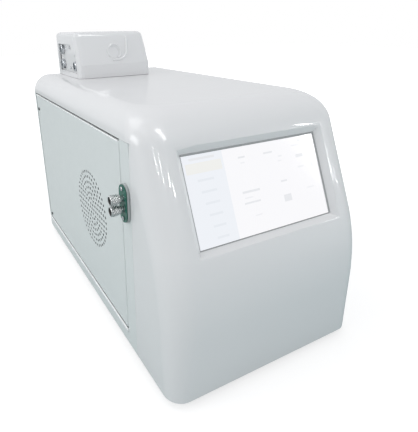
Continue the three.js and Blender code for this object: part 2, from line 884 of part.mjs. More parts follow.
// A fan's square frame with its struts and spindle; the axis is x or y and near is its outer face
function makeFanFrame(axis, size, depth, bore, hub, centre, from) {
  const half = size / 2;
  const square = [
    [centre[0] - half, centre[1] - half], [centre[0] + half, centre[1] - half],
    [centre[0] + half, centre[1] + half], [centre[0] - half, centre[1] + half],
  ];
  const ring = cut(
    slab(axis, square, from, from + depth),
    bar(axis, bore, from - cut_overrun, from + depth + cut_overrun, centre, round_sides + corner_steps * 2),
  );
  const strut_from = axis === 'x' ? from + depth - fan_strut_thickness : from;
  const struts = [];
  for (let index = 0; index < fan_strut_count / 2; index += 1) {
    const geometry = new THREE.BoxGeometry(fan_strut_thickness, fan_strut_width, bore * 2 + cut_overrun);
    if (axis === 'y') geometry.rotateZ(Math.PI / 2);
    const middle = strut_from + fan_strut_thickness / 2;
    const place = axis === 'x' ? [middle, centre[0], centre[1]] : [centre[0], middle, centre[1]];
    struts.push(turnedTo(geometry, axis, Math.PI / 4 + index * Math.PI / 2, place));
  }
  const hub_plate = bar(axis, hub, strut_from, strut_from + fan_strut_thickness, centre);
  const spindle_from = axis === 'x' ? from + depth / 3 : strut_from + fan_strut_thickness / 2;
  const spindle_to = axis === 'x' ? strut_from + fan_strut_thickness / 2 : from + depth * 2 / 3;
  const spindle = bar(axis, fan_spindle_radius, spindle_from, spindle_to, centre, small_sides);
  return joined(ring, struts, hub_plate, spindle);
}

// The rotor runs on the spindle, its open side towards the struts
function makeFanRotor(axis, depth, bore, hub, centre, from) {
  const strut_side = axis === 'x' ? from + depth - fan_strut_thickness : from + fan_strut_thickness;
  const free_side = axis === 'x' ? from + fan_blade_clearance : from + depth - fan_blade_clearance;
  const near = axis === 'x' ? strut_side - fan_blade_clearance : strut_side + fan_blade_clearance;
  const low = Math.min(near, free_side);
  const high = Math.max(near, free_side);
  const body = bar(axis, hub, low, high, centre);
  const blades = [];
  const reach = bore - fan_blade_clearance;
  for (let index = 0; index < fan_blade_count; index += 1) {
    const length = reach - hub / 2;
    const span = (high - low) / Math.cos(fan_blade_pitch) * fan_blade_span_share;
    const geometry = new THREE.BoxGeometry(span, fan_blade_thickness, length);
    geometry.translate(0, 0, hub / 2 + length / 2);
    const twist = new THREE.Matrix4().makeRotationZ(fan_blade_pitch);
    geometry.applyMatrix4(twist);
    if (axis === 'y') geometry.rotateZ(Math.PI / 2);
    const middle = (low + high) / 2;
    const place = axis === 'x' ? [middle, centre[0], centre[1]] : [centre[0], middle, centre[1]];
    blades.push(turnedTo(geometry, axis, index / fan_blade_count * full_turn, place));
  }
  const rotor = joined(body, blades);
  const envelope = bar(axis, reach, low, high, centre, round_sides);
  const hole = bar(
    axis, fan_spindle_radius + fan_spindle_gap, low - cut_overrun, high + cut_overrun, centre, small_sides,
  );
  return cut(rotor.intersect(envelope), hole);
}

function makeFanGuard() {
  const centre = [rear_fan_x, rear_fan_z];
  const from = rear_face + seat_gap;
  const rings = [];
  for (let index = 0; index < guard_ring_count; index += 1) {
    const radius = guard_first_radius + index * guard_ring_pitch;
    rings.push(cut(
      bar('y', radius + guard_wire / 2, from, from + guard_wire, centre),
      bar('y', radius - guard_wire / 2, from - cut_overrun, from + guard_wire + cut_overrun, centre),
    ));
  }
  const reach = rear_fan_size * Math.SQRT1_2 * guard_arm_reach_share;
  const arms = [1, -1].map((side) => {
    const geometry = new THREE.BoxGeometry(reach * 2, guard_wire, guard_wire);
    geometry.rotateY(side * Math.PI / 4);
    geometry.translate(centre[0], from + guard_wire / 2, centre[1]);
    return toSolid(geometry);
  });
  return joined(rings, arms);
}

// Green port plate on its boss, with the two unions and their knurled nuts
function stadium(width, length) {
  const half = width / 2;
  return roundedRectangle(port_y - half, port_y + half, port_z - length / 2, port_z + length / 2, half - seat_gap / 10);
}

function unionPlaces() {
  return [1, -1].map((side) => [port_y, port_z + side * union_spacing / 2]);
}

function unionBores(from, to) {
  return unionPlaces().map((place) => bar('x', union_radius + seat_gap, from, to, place, small_sides));
}

function makePortBoss() {
  const plate = slab('x', stadium(port_width, port_length), boss_face_x, -seat_gap);
  return cut(plate, unionBores(boss_face_x - cut_overrun, cut_overrun));
}

function makePortFace() {
  const outline = stadium(port_width - port_face_inset * 2, port_length - port_face_inset * 2);
  const plate = slab('x', outline, port_face_x, port_face_x + port_face_thickness);
  const screw_heads = [1, -1].map((side) => bar(
    'x', port_screw_radius, port_face_x - port_screw_height, port_face_x + port_face_thickness / 2,
    [port_y, port_z + side * port_screw_reach], small_sides,
  ));
  return cut(joined(plate, screw_heads), unionBores(port_face_x - cut_overrun, cut_overrun));
}

function makeUnion(place) {
  const nose_x = nut_outer_x + nut_socket_depth + union_nose;
  const stem = bar('x', union_radius, nose_x, union_inner_reach, place, small_sides);
  const flange = bar(
    'x', union_flange_radius, sheet + seat_gap, sheet + seat_gap + union_flange_length, place, hole_sides,
  );
  return joined(stem, flange);
}

function makeNut(place) {
  const bore = union_radius + seat_gap;
  return turned('x', [
    [bore, nut_inner_x], [nut_inner_radius, nut_inner_x], [nut_outer_radius, nut_outer_x],
    [nut_socket_radius, nut_outer_x], [nut_socket_radius, nut_outer_x + nut_socket_depth],
    [bore, nut_outer_x + nut_socket_depth], [bore, nut_inner_x],
  ], place, round_sides);
}

// Side and rear sheets
function makeRightPanel() {
  const panel = block([body_width - sheet, strip_front, 0], [body_width, body_depth, sheet_top]);
  const slots = [];
  for (let row = 0; row < louvre_rows; row += 1) {
    const y = louvre_first_y + row * (louvre_length + louvre_row_gap);
    for (let index = 0; index < louvre_count; index += 1) {
      const z = louvre_first_z + index * louvre_pitch;
      slots.push(block(
        [body_width - sheet - cut_overrun, y, z], [body_width + cut_overrun, y + louvre_length, z + louvre_width],
      ));
    }
  }
  const screw_heads = [strip_edge, body_depth - screw_edge_inset].flatMap((y) => (
    [side_screw_low_z, hood_skirt_height - side_screw_low_z].map((z) => bar(
      'x', screw_head_radius, body_width - sheet / 2, body_width + screw_head_height, [y, z], small_sides,
    ))
  ));
  return joined(cut(panel, slots), screw_heads);
}

function rearOutline() {
  const side = sheet + seat_gap;
  const inner = hood_wall + seat_gap;
  const points = [
    [side, 0], [body_width - side, 0], [body_width - side, sheet_top], [body_width - inner, sheet_top],
  ];
  const arc = [];
  for (let step = 0; step <= corner_steps; step += 1) {
    const height = THREE.MathUtils.lerp(hood_skirt_height, body_height - inner, Math.sin(step / corner_steps * Math.PI / 2));
    arc.push([sideEdge(height, inner), height]);
  }
  points.push(...arc.map(([x, z]) => [body_width - x, z]));
  points.push(...arc.reverse().map(([x, z]) => [x, z]));
  points.push([inner, sheet_top], [side, sheet_top]);
  return points;
}

function makeRearPanel() {
  const panel = slab('y', rearOutline(), rear_inner, rear_face);
  const through = [rear_inner - cut_overrun, rear_face + cut_overrun];
  const opening = (x, z, width, height) => block(
    [x - width / 2, through[0], z - height / 2], [x + width / 2, through[1], z + height / 2],
  );
  const clear = seat_gap * 2;
  const screw_x = [screw_edge_inset, body_width / 2, body_width - screw_edge_inset];
  const screw_heads = screw_x.flatMap((x) => [screw_edge_inset, hood_skirt_height - screw_edge_inset].map((z) => bar(
    'y', screw_head_radius, rear_face - sheet / 2, rear_face + screw_head_height, [x, z], small_sides,
  )));
  return cut(
    joined(panel, screw_heads),
    bar('y', rear_fan_bore, ...through, [rear_fan_x, rear_fan_z], round_sides + corner_steps * 2),
    opening(inlet_x, inlet_z, inlet_body_width + clear, inlet_body_height + clear),
    opening(fuse_x, inlet_z, fuse_width + (fuse_sleeve_wall + seat_gap) * 2 + clear,
      fuse_height + (fuse_sleeve_wall + seat_gap) * 2 + clear),
    opening(switch_x, switch_z, switch_width + clear, switch_height + clear),
    opening(data_x, data_z, data_width + clear, data_height + clear),
    wastePlaces().map((place) => bar('y', waste_stem_radius + seat_gap, ...through, place, small_sides)),
  );
}

// Partition between the wet side and the electronics
function makePartition() {
  const rear = rear_inner - partition_rear_gap;
  const low = tray_top + seat_gap;
  const wall = block([partition_x, partition_front_y, low], [partition_right, rear, partition_height]);
  const foot = block([partition_x, partition_front_y, low], [partition_x + partition_foot, rear, low + sheet]);
  const standoffs = boardCorners().map((place) => (
    bar('x', pump_shaft_radius, partition_x + sheet / 2, partition_right + board_standoff, place, small_sides)
  ));
  const shaft_hole = bar(
    'x', pump_shaft_radius + seat_gap, partition_x - cut_overrun, partition_right + cut_overrun,
    [pump_y, pump_z], small_sides,
  );
  return cut(joined(wall, foot, standoffs), shaft_hole);
}

function boardCorners() {
  const inset = pump_shaft_radius * 3;
  return [board_y + inset, board_y + board_length - inset].flatMap((y) => (
    [board_z + inset, board_z + board_height - inset].map((z) => [y, z])
  ));
}

function makeMainBoard() {
  const from = partition_right + board_standoff + seat_gap;
  const board = block([from, board_y, board_z], [
    from + board_thickness, board_y + board_length, board_z + board_height,
  ]);
  const chips = board_chip_places_shares.map(([share_y, share_z]) => {
    const y = board_y + board_length * share_y - board_chip_size / 2;
    const z = board_z + board_height * share_z - board_chip_size / 2;
    return block([from + board_thickness / 2, y, z], [
      from + board_thickness + board_chip_height, y + board_chip_size, z + board_chip_size,
    ]);
  });
  return joined(board, chips);
}

function makePowerSupply() {
  const low = tray_top + seat_gap;
  return block([supply_x, supply_y, low], [
    supply_x + supply_width, supply_y + supply_length, low + supply_height,
  ]);
}

// Mains inlet, fuse drawer, rocker switch, sockets and waste fittings
function makePowerInlet() {
  const face = rear_face + seat_gap;
  const flange_far = face + inlet_flange_thickness;
  const centred = (width, height, from, to) => block(
    [inlet_x - width / 2, from, inlet_z - height / 2], [inlet_x + width / 2, to, inlet_z + height / 2],
  );
  const body = joined(
    centred(inlet_flange_width, inlet_flange_height, face, flange_far),
    centred(inlet_body_width, inlet_body_height, flange_far - inlet_body_depth, flange_far - seat_gap),
  );
  const socket_floor = flange_far - inlet_socket_depth;
  const socket = centred(inlet_socket_width, inlet_socket_height, socket_floor, flange_far + cut_overrun);
  const pins = [-1, 0, 1].map((side) => {
    const x = inlet_x + side * inlet_pin_spacing;
    const z = inlet_z + (side === 0 ? inlet_pin_rise : -inlet_pin_rise);
    return block([x - inlet_pin_width / 2, socket_floor - seat_gap, z - inlet_pin_height / 2], [
      x + inlet_pin_width / 2, socket_floor + inlet_pin_length, z + inlet_pin_height / 2,
    ]);
  });
  const sleeve_half = [fuse_width / 2 + fuse_sleeve_wall + seat_gap, fuse_height / 2 + fuse_sleeve_wall + seat_gap];
  const sleeve_from = flange_far - fuse_depth - fuse_sleeve_wall;
  const sleeve = cut(
    block([fuse_x - sleeve_half[0], sleeve_from, inlet_z - sleeve_half[1]], [
      fuse_x + sleeve_half[0], face + seat_gap, inlet_z + sleeve_half[1],
    ]),
    block([
      fuse_x - fuse_width / 2 - seat_gap, sleeve_from + fuse_sleeve_wall, inlet_z - fuse_height / 2 - seat_gap,
    ], [
      fuse_x + fuse_width / 2 + seat_gap, flange_far + cut_overrun, inlet_z + fuse_height / 2 + seat_gap,
    ]),
  );
  const bridge = block(
    [fuse_x + fuse_width / 2 + seat_gap * 2, face, inlet_z - fuse_height / 2],
    [inlet_x - inlet_flange_width / 2 + seat_gap, face + fuse_sleeve_wall / 2, inlet_z + fuse_height / 2],
  );
  return joined(cut(body, socket), pins, sleeve, bridge);
}

function makeFuseDrawer() {
  const face = rear_face + seat_gap * 2 + fuse_sleeve_wall / 2;
  const body = block([fuse_x - fuse_width / 2, face - fuse_depth + fuse_sleeve_wall, inlet_z - fuse_height / 2], [
    fuse_x + fuse_width / 2, face + fuse_face / 2, inlet_z + fuse_height / 2,
  ]);
  const margin = fuse_sleeve_wall + fuse_face_margin / 2;
  const cover = block([fuse_x - fuse_width / 2 - margin, face, inlet_z - fuse_height / 2 - margin], [
    fuse_x + fuse_width / 2 + margin / 2, face + fuse_face, inlet_z + fuse_height / 2 + margin,
  ]);
  const grip = block([fuse_x - fuse_grip, face + fuse_face / 2, inlet_z - fuse_grip], [
    fuse_x + fuse_grip, face + fuse_face + fuse_grip / 2, inlet_z + fuse_grip,
  ]);
  const bay = block([
    fuse_x - fuse_width / 2 + fuse_sleeve_wall, face - fuse_depth + fuse_sleeve_wall * 2, inlet_z - fuse_height / 4,
  ], [fuse_x + fuse_width / 2 - fuse_sleeve_wall, face - fuse_sleeve_wall, inlet_z + fuse_height]);
  return cut(joined(body, cover, grip), bay);
}

function makeSwitchBezel() {
  const face = rear_face + seat_gap;
  const outer = block([switch_x - switch_width / 2, face - switch_depth, switch_z - switch_height / 2], [
    switch_x + switch_width / 2, face + switch_wall / 2, switch_z + switch_height / 2,
  ]);
  const flange = block([
    switch_x - switch_width / 2 - switch_wall, face, switch_z - switch_height / 2 - switch_wall,
  ], [switch_x + switch_width / 2 + switch_wall, face + switch_wall, switch_z + switch_height / 2 + switch_wall]);
  const half_width = rocker_width / 2 + rocker_clearance;
  const half_height = rocker_radius + rocker_clearance * 2;
  const well = block([switch_x - half_width, face - switch_depth + switch_wall, switch_z - half_height], [
    switch_x + half_width, face + switch_wall + cut_overrun, switch_z + half_height,
  ]);
  const axis_y = face - rocker_axis_depth;
  const bearing = bar(
    'x', rocker_pin_radius + seat_gap, switch_x - switch_width / 2 + switch_wall / 2,
    switch_x + switch_width / 2 - switch_wall / 2, [axis_y, switch_z], small_sides,
  );
  return cut(joined(outer, flange), well, bearing);
}

// The rocker's face is a shallow V round its pin, tilted to one side at rest
function makeRocker() {
  const half = rocker_width / 2;
  const reach = rocker_radius - rocker_clearance;
  const lift = rocker_axis_depth + switch_wall;
  const outline = [
    [-lift * rocker_waist_share, -reach * rocker_waist_share], [lift * rocker_lip_share, -reach],
    [lift, -reach], [lift * rocker_valley_share, 0], [lift, reach], [lift * rocker_lip_share, reach],
    [-lift * rocker_waist_share, reach * rocker_waist_share],
  ];
  const shape = new THREE.Shape(outline.map(([y, z]) => new THREE.Vector2(y, z)));
  const body = new THREE.ExtrudeGeometry(shape, { depth: half * 2, bevelEnabled: false });
  body.applyMatrix4(new THREE.Matrix4().set(0, 0, 1, -half, 1, 0, 0, 0, 0, 1, 0, 0, 0, 0, 0, 1));
  const centre = [switch_x, rear_face + seat_gap - rocker_axis_depth, switch_z];
  const rocker = turnedTo(body, 'x', rocker_rest_angle, centre);
  const pin_half = switch_width / 2 - switch_wall / 2 - seat_gap;
  const pin = bar(
    'x', rocker_pin_radius, switch_x - pin_half, switch_x + pin_half, [centre[1], switch_z], small_sides,
  );
  return joined(rocker, pin);
}

function makeDataSockets() {
  const face = rear_face + seat_gap;
  const far = face + data_wall;
  const body = block([data_x - data_width / 2, far - data_depth, data_z - data_height / 2], [
    data_x + data_width / 2, far - seat_gap, data_z + data_height / 2,
  ]);
  const flange = block([data_x - data_width / 2 - data_flange, face, data_z - data_height / 2 - data_flange], [
    data_x + data_width / 2 + data_flange, far, data_z + data_height / 2 + data_flange,
  ]);
  const lan_x = data_x - data_width / 2 + data_wall;
  const lan = block([lan_x, far - lan_depth, data_z - lan_height / 2], [
    lan_x + lan_width, far + cut_overrun, data_z + lan_height / 2,
  ]);
  const usb_x = data_x + data_width / 2 - data_wall - usb_width;
  const usb = [1, -1].map((side) => {
    const z = data_z + side * (usb_height / 2 + data_wall / 2);
    return block([usb_x, far - usb_depth, z - usb_height / 2], [usb_x + usb_width, far + cut_overrun, z + usb_height / 2]);
  });
  return cut(joined(body, flange), lan, usb);
}

function wastePlaces() {
  return Array.from({ length: waste_count }, (_, index) => [waste_x_first + index * waste_spacing, waste_z]);
}

// Top module: a cover with sloped upper faces on the hood's rear left
function moduleRing(height, wall) {
  const top = module_height - wall;
  const slope = THREE.MathUtils.clamp((height - module_band_height) / (module_height - module_band_height), 0, 1);
  const edge = Math.max(height - (top - module_edge_radius), 0);
  const rounding = module_edge_radius - Math.sqrt(Math.max(module_edge_radius ** 2 - edge ** 2, 0));
  const inset = wall + rounding;
  const left = module_left + inset;
  const right = module_right - module_right_slope * slope - inset;
  const front = module_front + module_front_slope * slope + inset;
  const rear = module_rear - module_rear_slope * slope - inset;
  const z = body_height + seat_gap + height;
  const outline = roundedRectangle(left, right, front, rear, module_corner_radius - wall, corner_steps / 2);
  return outline.map(([x, y]) => [x, y, z]);
}

function moduleSkin(wall, low) {
  const top = module_height - wall;
  const levels = [low, module_band_height, top - module_edge_radius];
  for (let step = 1; step <= corner_steps / 2; step += 1) {
    levels.push(top - module_edge_radius + module_edge_radius * Math.sin(step / corner_steps * Math.PI));
  }
  return loft(levels.map((height) => moduleRing(height, wall)));
}

function makeModuleCover() {
  const shell = cut(moduleSkin(0, 0), moduleSkin(module_wall, -cut_overrun));
  const base = body_height + seat_gap;
  const window = slab(
    'x', moduleWindow(0), module_left - cut_overrun, module_left + module_wall + cut_overrun,
  );
  const slope = module_front_slope / (module_height - module_band_height);
  const dimple_y = module_front + (dimple_z - module_band_height) * slope;
  const dish = new THREE.CylinderGeometry(dimple_radius, dimple_radius * dimple_floor_share, dimple_depth * 2, round_sides);
  dish.rotateX(Math.PI - Math.atan(slope));
  dish.translate(module_x, dimple_y, base + dimple_z);
  return cut(shell, window, toSolid(dish));
}

// The window steps down towards the front, where the cover's front face leans back
function moduleWindow(grow) {
  const base = body_height + seat_gap;
  return [
    [module_window_front - grow, base + module_window_low - grow],
    [module_window_rear + grow, base + module_window_low - grow],
    [module_window_rear + grow, base + module_window_high + grow],
    [module_window_step - grow, base + module_window_high + grow],
    [module_window_step - grow - module_window_lean, base + module_window_middle + grow],
    [module_window_front - grow + module_window_lean, base + module_window_middle + grow],
  ];
}

function modulePlateX() {
  return module_left + module_wall + module_plate_gap;
}

function makeModulePortPlate() {
  const base = body_height + seat_gap;
  const x = modulePlateX();
  const plate = slab('x', moduleWindow(module_plate_overlap), x, x + module_plate_thickness);
  const holes = connectorPlaces().map((place) => (
    bar('x', connector_stem_radius + seat_gap, x - cut_overrun, x + module_plate_thickness + cut_overrun, place)
  ));
  const screw_heads = module_screw_places.map(([y, z]) => bar(
    'x', module_screw_radius, x - module_screw_height, x + module_plate_thickness / 2,
    [module_front + y, base + z], small_sides,
  ));
  return joined(cut(plate, holes), screw_heads);
}

function connectorPlaces() {
  const base = body_height + seat_gap;
  return [
    [connector_rear_y, base + connector_high_z],
    [connector_rear_y, base + connector_low_z],
    [connector_front_y, base + connector_low_z],
  ];
}

function makeModuleConnector(place) {
  const x = modulePlateX() - seat_gap;
  return turned('x', [
    [0, x + connector_stem_length], [connector_stem_radius, x + connector_stem_length], [connector_stem_radius, x],
    [connector_radius, x], [connector_radius, x - connector_height * connector_rim_share],
    [connector_radius - module_wall / 2, x - connector_height],
    [connector_flat_radius, x - connector_height],
    [connector_flat_radius, x - connector_height + connector_hole_depth],
    [0, x - connector_height + connector_hole_depth],
  ], place, round_sides);
}

// Peristaltic sample pump on the partition
function pumpFrontX() {
  return partition_x - seat_gap - pump_depth;
}

function makePumpHousing() {
  const half = pump_size / 2;
  const back_x = partition_x - seat_gap;
  const body = block([pumpFrontX(), pump_y - half, pump_z - half], [back_x, pump_y + half, pump_z + half]);
  const centre = [pump_y, pump_z];
  const bore = bar('x', pump_bore, pumpFrontX() - cut_overrun, back_x - pump_back, centre, round_sides + corner_steps);
  const shaft = bar('x', pump_shaft_radius + seat_gap, pumpFrontX(), back_x + cut_overrun, centre, small_sides);
  const slots = [1, -1].map((side) => {
    const y = pump_y + side * pump_tube_orbit;
    return block([pumpFrontX() - cut_overrun, y - pump_slot_width / 2, pump_z - half - cut_overrun], [
      back_x - pump_back, y + pump_slot_width / 2, pump_z,
    ]);
  });
  return cut(body, bore, shaft, slots);
}

function makePumpRotor() {
  const from = pumpFrontX() + pump_rotor_plate;
  const to = partition_x - seat_gap - pump_back - seat_gap * 2;
  const centre = [pump_y, pump_z];
  const plates = [[from, from + pump_rotor_plate], [to - pump_rotor_plate, to]].map(([low, high]) => (
    bar('x', pump_rotor_radius + pump_roller_radius, low, high, centre)
  ));
  const core = bar('x', pump_rotor_radius / 2, from, to, centre, small_sides);
  const shaft = bar('x', pump_shaft_radius, to - pump_rotor_plate, partition_right + seat_gap, centre, small_sides);
  const rollers = Array.from({ length: pump_roller_count }, (_, index) => {
    const angle = (index + 1 / 2) / pump_roller_count * full_turn;
    const place = [pump_y + pump_roller_orbit * Math.cos(angle), pump_z + pump_roller_orbit * Math.sin(angle)];
    return bar('x', pump_roller_radius, from + pump_rotor_plate / 2, to - pump_rotor_plate / 2, place, small_sides);
  });
  return joined(plates, core, shaft, rollers);
}

function makePumpMotor() {
  const from = partition_right + seat_gap;
  const centre = [pump_y, pump_z];
  const body = bar('x', pump_motor_radius, from, from + pump_motor_length, centre);
  const bore = bar('x', pump_shaft_radius + seat_gap, from - cut_overrun, from + seat_gap * 3, centre, small_sides);
  return cut(body, bore);
}

// A tube of round section along a curve
function tubeAlong(curve, radius, steps, sides) {
  const ring = Array.from({ length: sides }, (_, index) => {
    const angle = index / sides * full_turn;
    return new THREE.Vector2(radius * Math.cos(angle), radius * Math.sin(angle));
  });
  const geometry = new THREE.ExtrudeGeometry(new THREE.Shape(ring), {
    steps, bevelEnabled: false, extrudePath: curve,
  });
  return toSolid(geometry);
}

function makePumpTube() {
  const x = (pumpFrontX() + partition_x - seat_gap - pump_back) / 2;
  const low = pump_z - pump_size / 2 - pump_slot_width;
  const points = [new THREE.Vector3(x, pump_y - pump_tube_orbit, low)];
  for (let step = 0; step <= corner_steps * 2; step += 1) {
    const angle = Math.PI - step / (corner_steps * 2) * Math.PI;
    const y = pump_y + pump_tube_orbit * Math.cos(angle);
    points.push(new THREE.Vector3(x, y, pump_z + pump_tube_orbit * Math.sin(angle)));
  }
  points.push(new THREE.Vector3(x, pump_y + pump_tube_orbit, low));
  return tubeAlong(new THREE.CatmullRomCurve3(points), pump_tube_radius, tube_steps, tube_sides);
}

// Reagent syringes: valve block above, glass barrel, plunger on its carriage
function syringeY(index) {
  return syringe_first_y + index * syringe_spacing;
}

function syringeAxisX() {
  return partition_x - seat_gap - syringe_axis_reach;
}

function makeSyringeBody(index) {
  const y = syringeY(index);
  const half = syringe_width / 2;
  const back = partition_x - seat_gap;
  const plate = block([back - syringe_back, y - half, syringe_low_z], [back, y + half, syringe_high_z]);
  const valve = block([back - syringe_valve_reach, y - half, syringe_high_z - syringe_valve_height], [
    back, y + half, syringe_high_z,
  ]);
  return joined(plate, valve);
}

function syringeTop() {
  return syringe_high_z - syringe_valve_height - seat_gap;
}

function makeSyringeBarrel(index) {
  const top = syringeTop();
  const centre = [syringeAxisX(), syringeY(index)];
  return turned('z', [
    [0, top - syringe_nose_radius], [syringe_bore_radius, top - syringe_nose_radius],
    [syringe_bore_radius, top - syringe_barrel_length], [syringe_barrel_radius, top - syringe_barrel_length],
    [syringe_barrel_radius, top], [0, top],
  ], centre, round_sides);
}

function makeSyringePlunger(index) {
  const centre = [syringeAxisX(), syringeY(index)];
  const piston_top = syringeTop() - syringe_nose_radius - seat_gap;
  const piston_radius = syringe_bore_radius - syringe_piston_clearance;
  const carriage_top = syringeTop() - syringe_barrel_length - syringe_carriage_drop;
  const piston = bar('z', piston_radius, piston_top - syringe_piston_length, piston_top, centre);
  const rod = bar(
    'z', syringe_rod_radius, carriage_top - syringe_carriage_height / 2,
    piston_top - syringe_piston_length / 2, centre, small_sides,
  );
  const carriage = block(
    [centre[0] - syringe_carriage_half, centre[1] - syringe_carriage_half, carriage_top - syringe_carriage_height],
    [partition_x - seat_gap * 2 - syringe_back, centre[1] + syringe_carriage_half, carriage_top],
  );
  return joined(piston, rod, carriage);
}

// Ultraviolet reactor in its clips, cell block, resin column
function reactorCentre() {
  return [partition_x - seat_gap - reactor_standoff, reactor_z];
}

function makeReactor() {
  const from = reactor_y - reactor_length / 2;
  const to = reactor_y + reactor_length / 2;
  const centre = reactorCentre();
  return joined(
    bar('y', reactor_radius, from, to, centre),
    bar('y', reactor_cap_radius, from - reactor_cap_length / 2, from + reactor_cap_length, centre),
    bar('y', reactor_cap_radius, to - reactor_cap_length, to + reactor_cap_length / 2, centre),
    [from, to].map((y) => bar(
      'z', union_radius, reactor_z - reactor_cap_radius - union_flange_length,
      reactor_z, [centre[0], y + Math.sign(reactor_y - y) * reactor_cap_length / 4], small_sides,
    )),
  );
}

function makeReactorCradle() {
  const [x, z] = reactorCentre();
  const back = partition_x - seat_gap;
  const outer = reactor_radius + seat_gap + clip_wall;
  const half_span = (1 / 2 - clip_share) * reactor_length;
  const strip = block([back - clip_wall, reactor_y - half_span, z - clip_width / 2], [
    back, reactor_y + half_span, z + clip_width / 2,
  ]);
  const clips = [-1, 1].map((side) => {
    const y = reactor_y + side * half_span;
    const saddle = joined(
      bar('y', outer, y - clip_width / 2, y + clip_width / 2, [x, z]),
      block([x, y - clip_width / 2, z - outer / 2], [back, y + clip_width / 2, z + outer / 2]),
    );
    const bore = bar(
      'y', reactor_radius + seat_gap, y - clip_width / 2 - cut_overrun, y + clip_width / 2 + cut_overrun, [x, z],
    );
    const mouth = block([x - outer - cut_overrun, y - clip_width / 2 - cut_overrun, z - reactor_radius / 2], [
      x, y + clip_width / 2 + cut_overrun, z + reactor_radius / 2,
    ]);
    return cut(saddle, bore, mouth);
  });
  return joined(strip, clips);
}

function makeCellBlock() {
  const back = partition_x - seat_gap;
  const body = block([back - cell_depth, cell_y - cell_length / 2, cell_z - cell_height / 2], [
    back, cell_y + cell_length / 2, cell_z + cell_height / 2,
  ]);
  const probes = [1, -1].map((side) => bar(
    'z', cell_probe_radius, cell_z, cell_z + cell_height / 2 + cell_probe_length,
    [back - cell_depth / 2, cell_y + side * cell_probe_spacing / 2], small_sides,
  ));
  return joined(body, probes);
}

// Reagent bottles with their caps in a drip tray
function bottleY(index) {
  return bottle_first_y + index * bottle_spacing;
}

function bottleFloor() {
  return tray_top + seat_gap * 2 + drip_wall;
}

function bottleRing(half, corner, y, z) {
  const outline = roundedRectangle(
    bottle_x - half, bottle_x + half, y - half, y + half, corner, corner_steps / 2,
  );
  return outline.map(([a, b]) => [a, b, z]);
}

function bottleSkin(y, wall, floor) {
  const half = bottle_size / 2 - wall;
  const corner = bottle_corner - wall;
  const shoulder = bottleFloor() + bottle_height - bottle_shoulder;
  const neck = bottle_neck_radius - wall;
  return joined(
    loft([
      bottleRing(half, corner, y, floor),
      bottleRing(half, corner, y, shoulder),
      bottleRing(neck, neck - wall / 4, y, shoulder + bottle_shoulder),
    ]),
    bar('z', neck, shoulder + bottle_shoulder / 2, shoulder + bottle_shoulder + bottle_neck_height + wall, [bottle_x, y]),
  );
}

function makeBottle(index) {
  const floor = bottleFloor();
  const y = bottleY(index);
  return cut(bottleSkin(y, 0, floor), bottleSkin(y, bottle_wall, floor + bottle_wall));
}

function makeBottleCap(index) {
  const rim = bottleFloor() + bottle_height + bottle_neck_height;
  const low = rim + cap_wall - cap_height;
  const place = [bottle_x, bottleY(index)];
  return cut(
    bar('z', cap_radius, low, rim + seat_gap + cap_wall, place, cap_grip_count),
    bar('z', bottle_neck_radius + seat_gap, low - cut_overrun, rim + seat_gap, place),
  );
}

function makeDripTray() {
  const low = tray_top + seat_gap;
  const half = bottle_size / 2 + drip_margin;
  const from = [bottle_x - half, bottleY(0) - half];
  const to = [bottle_x + half, bottleY(bottle_count - 1) + half];
  return cut(
    block([...from, low], [...to, low + drip_height]),
    block(
      [from[0] + drip_wall, from[1] + drip_wall, low + drip_wall],
      [to[0] - drip_wall, to[1] - drip_wall, low + drip_height + cut_overrun],
    ),
  );
}

// Finishes
function finish(colour, roughness, metalness = 0) {
  return { color: new THREE.Color(colour), roughness, metalness };
}
const gloss_white = finish('#e4e5e8', 0.18);
const painted_grey = finish('#ccd2d2', 0.42);
const inner_steel = finish('#b9bec1', 0.45, 0.6);
const black_plastic = finish('#1c1d1f', 0.5);
const dark_rubber = finish('#232426', 0.8);
const chrome = finish('#c9ccd0', 0.18, 1);
const steel = finish('#a9adb1', 0.35, 1);
const lit_glass = finish('#f4f8fc', 0.08);
const port_green = finish('#0f5a48', 0.35);
const port_grey = finish('#aab2b2', 0.4);
const clear_glass = finish('#dfeaec', 0.05);
const board_green = finish('#1d5b3a', 0.5);
const white_polymer = finish('#eceff0', 0.45);
const tube_clear = finish('#e6e2d2', 0.3);

// The analyzer: each piece is one named mesh
const analyzer = new THREE.Group();
const case_group = new THREE.Group();
analyzer.add(case_group);

function piece(name, solid, look) {
  const mesh = new THREE.Mesh(toGeometry(solid), new THREE.MeshStandardMaterial(look));
  mesh.name = name;
  case_group.add(mesh);
}

piece('hood', makeHood(), gloss_white);
piece('touch_glass', makeTouchGlass(), lit_glass);
piece('display_panel', makeDisplayPanel(), black_plastic);
piece('base_tray', makeBaseTray(), inner_steel);
[['left', foot_inset_x], ['right', body_width - foot_inset_x]].forEach(([side, x]) => {
  piece(`front_${side}_foot`, makeFoot(x, foot_front_y), dark_rubber);
  piece(`rear_${side}_foot`, makeFoot(x, foot_rear_y), dark_rubber);
});
piece('left_frame', makeLeftFrame(), painted_grey);
piece('right_panel', makeRightPanel(), painted_grey);
piece('rear_panel', makeRearPanel(), painted_grey);
piece('partition', makePartition(), inner_steel);

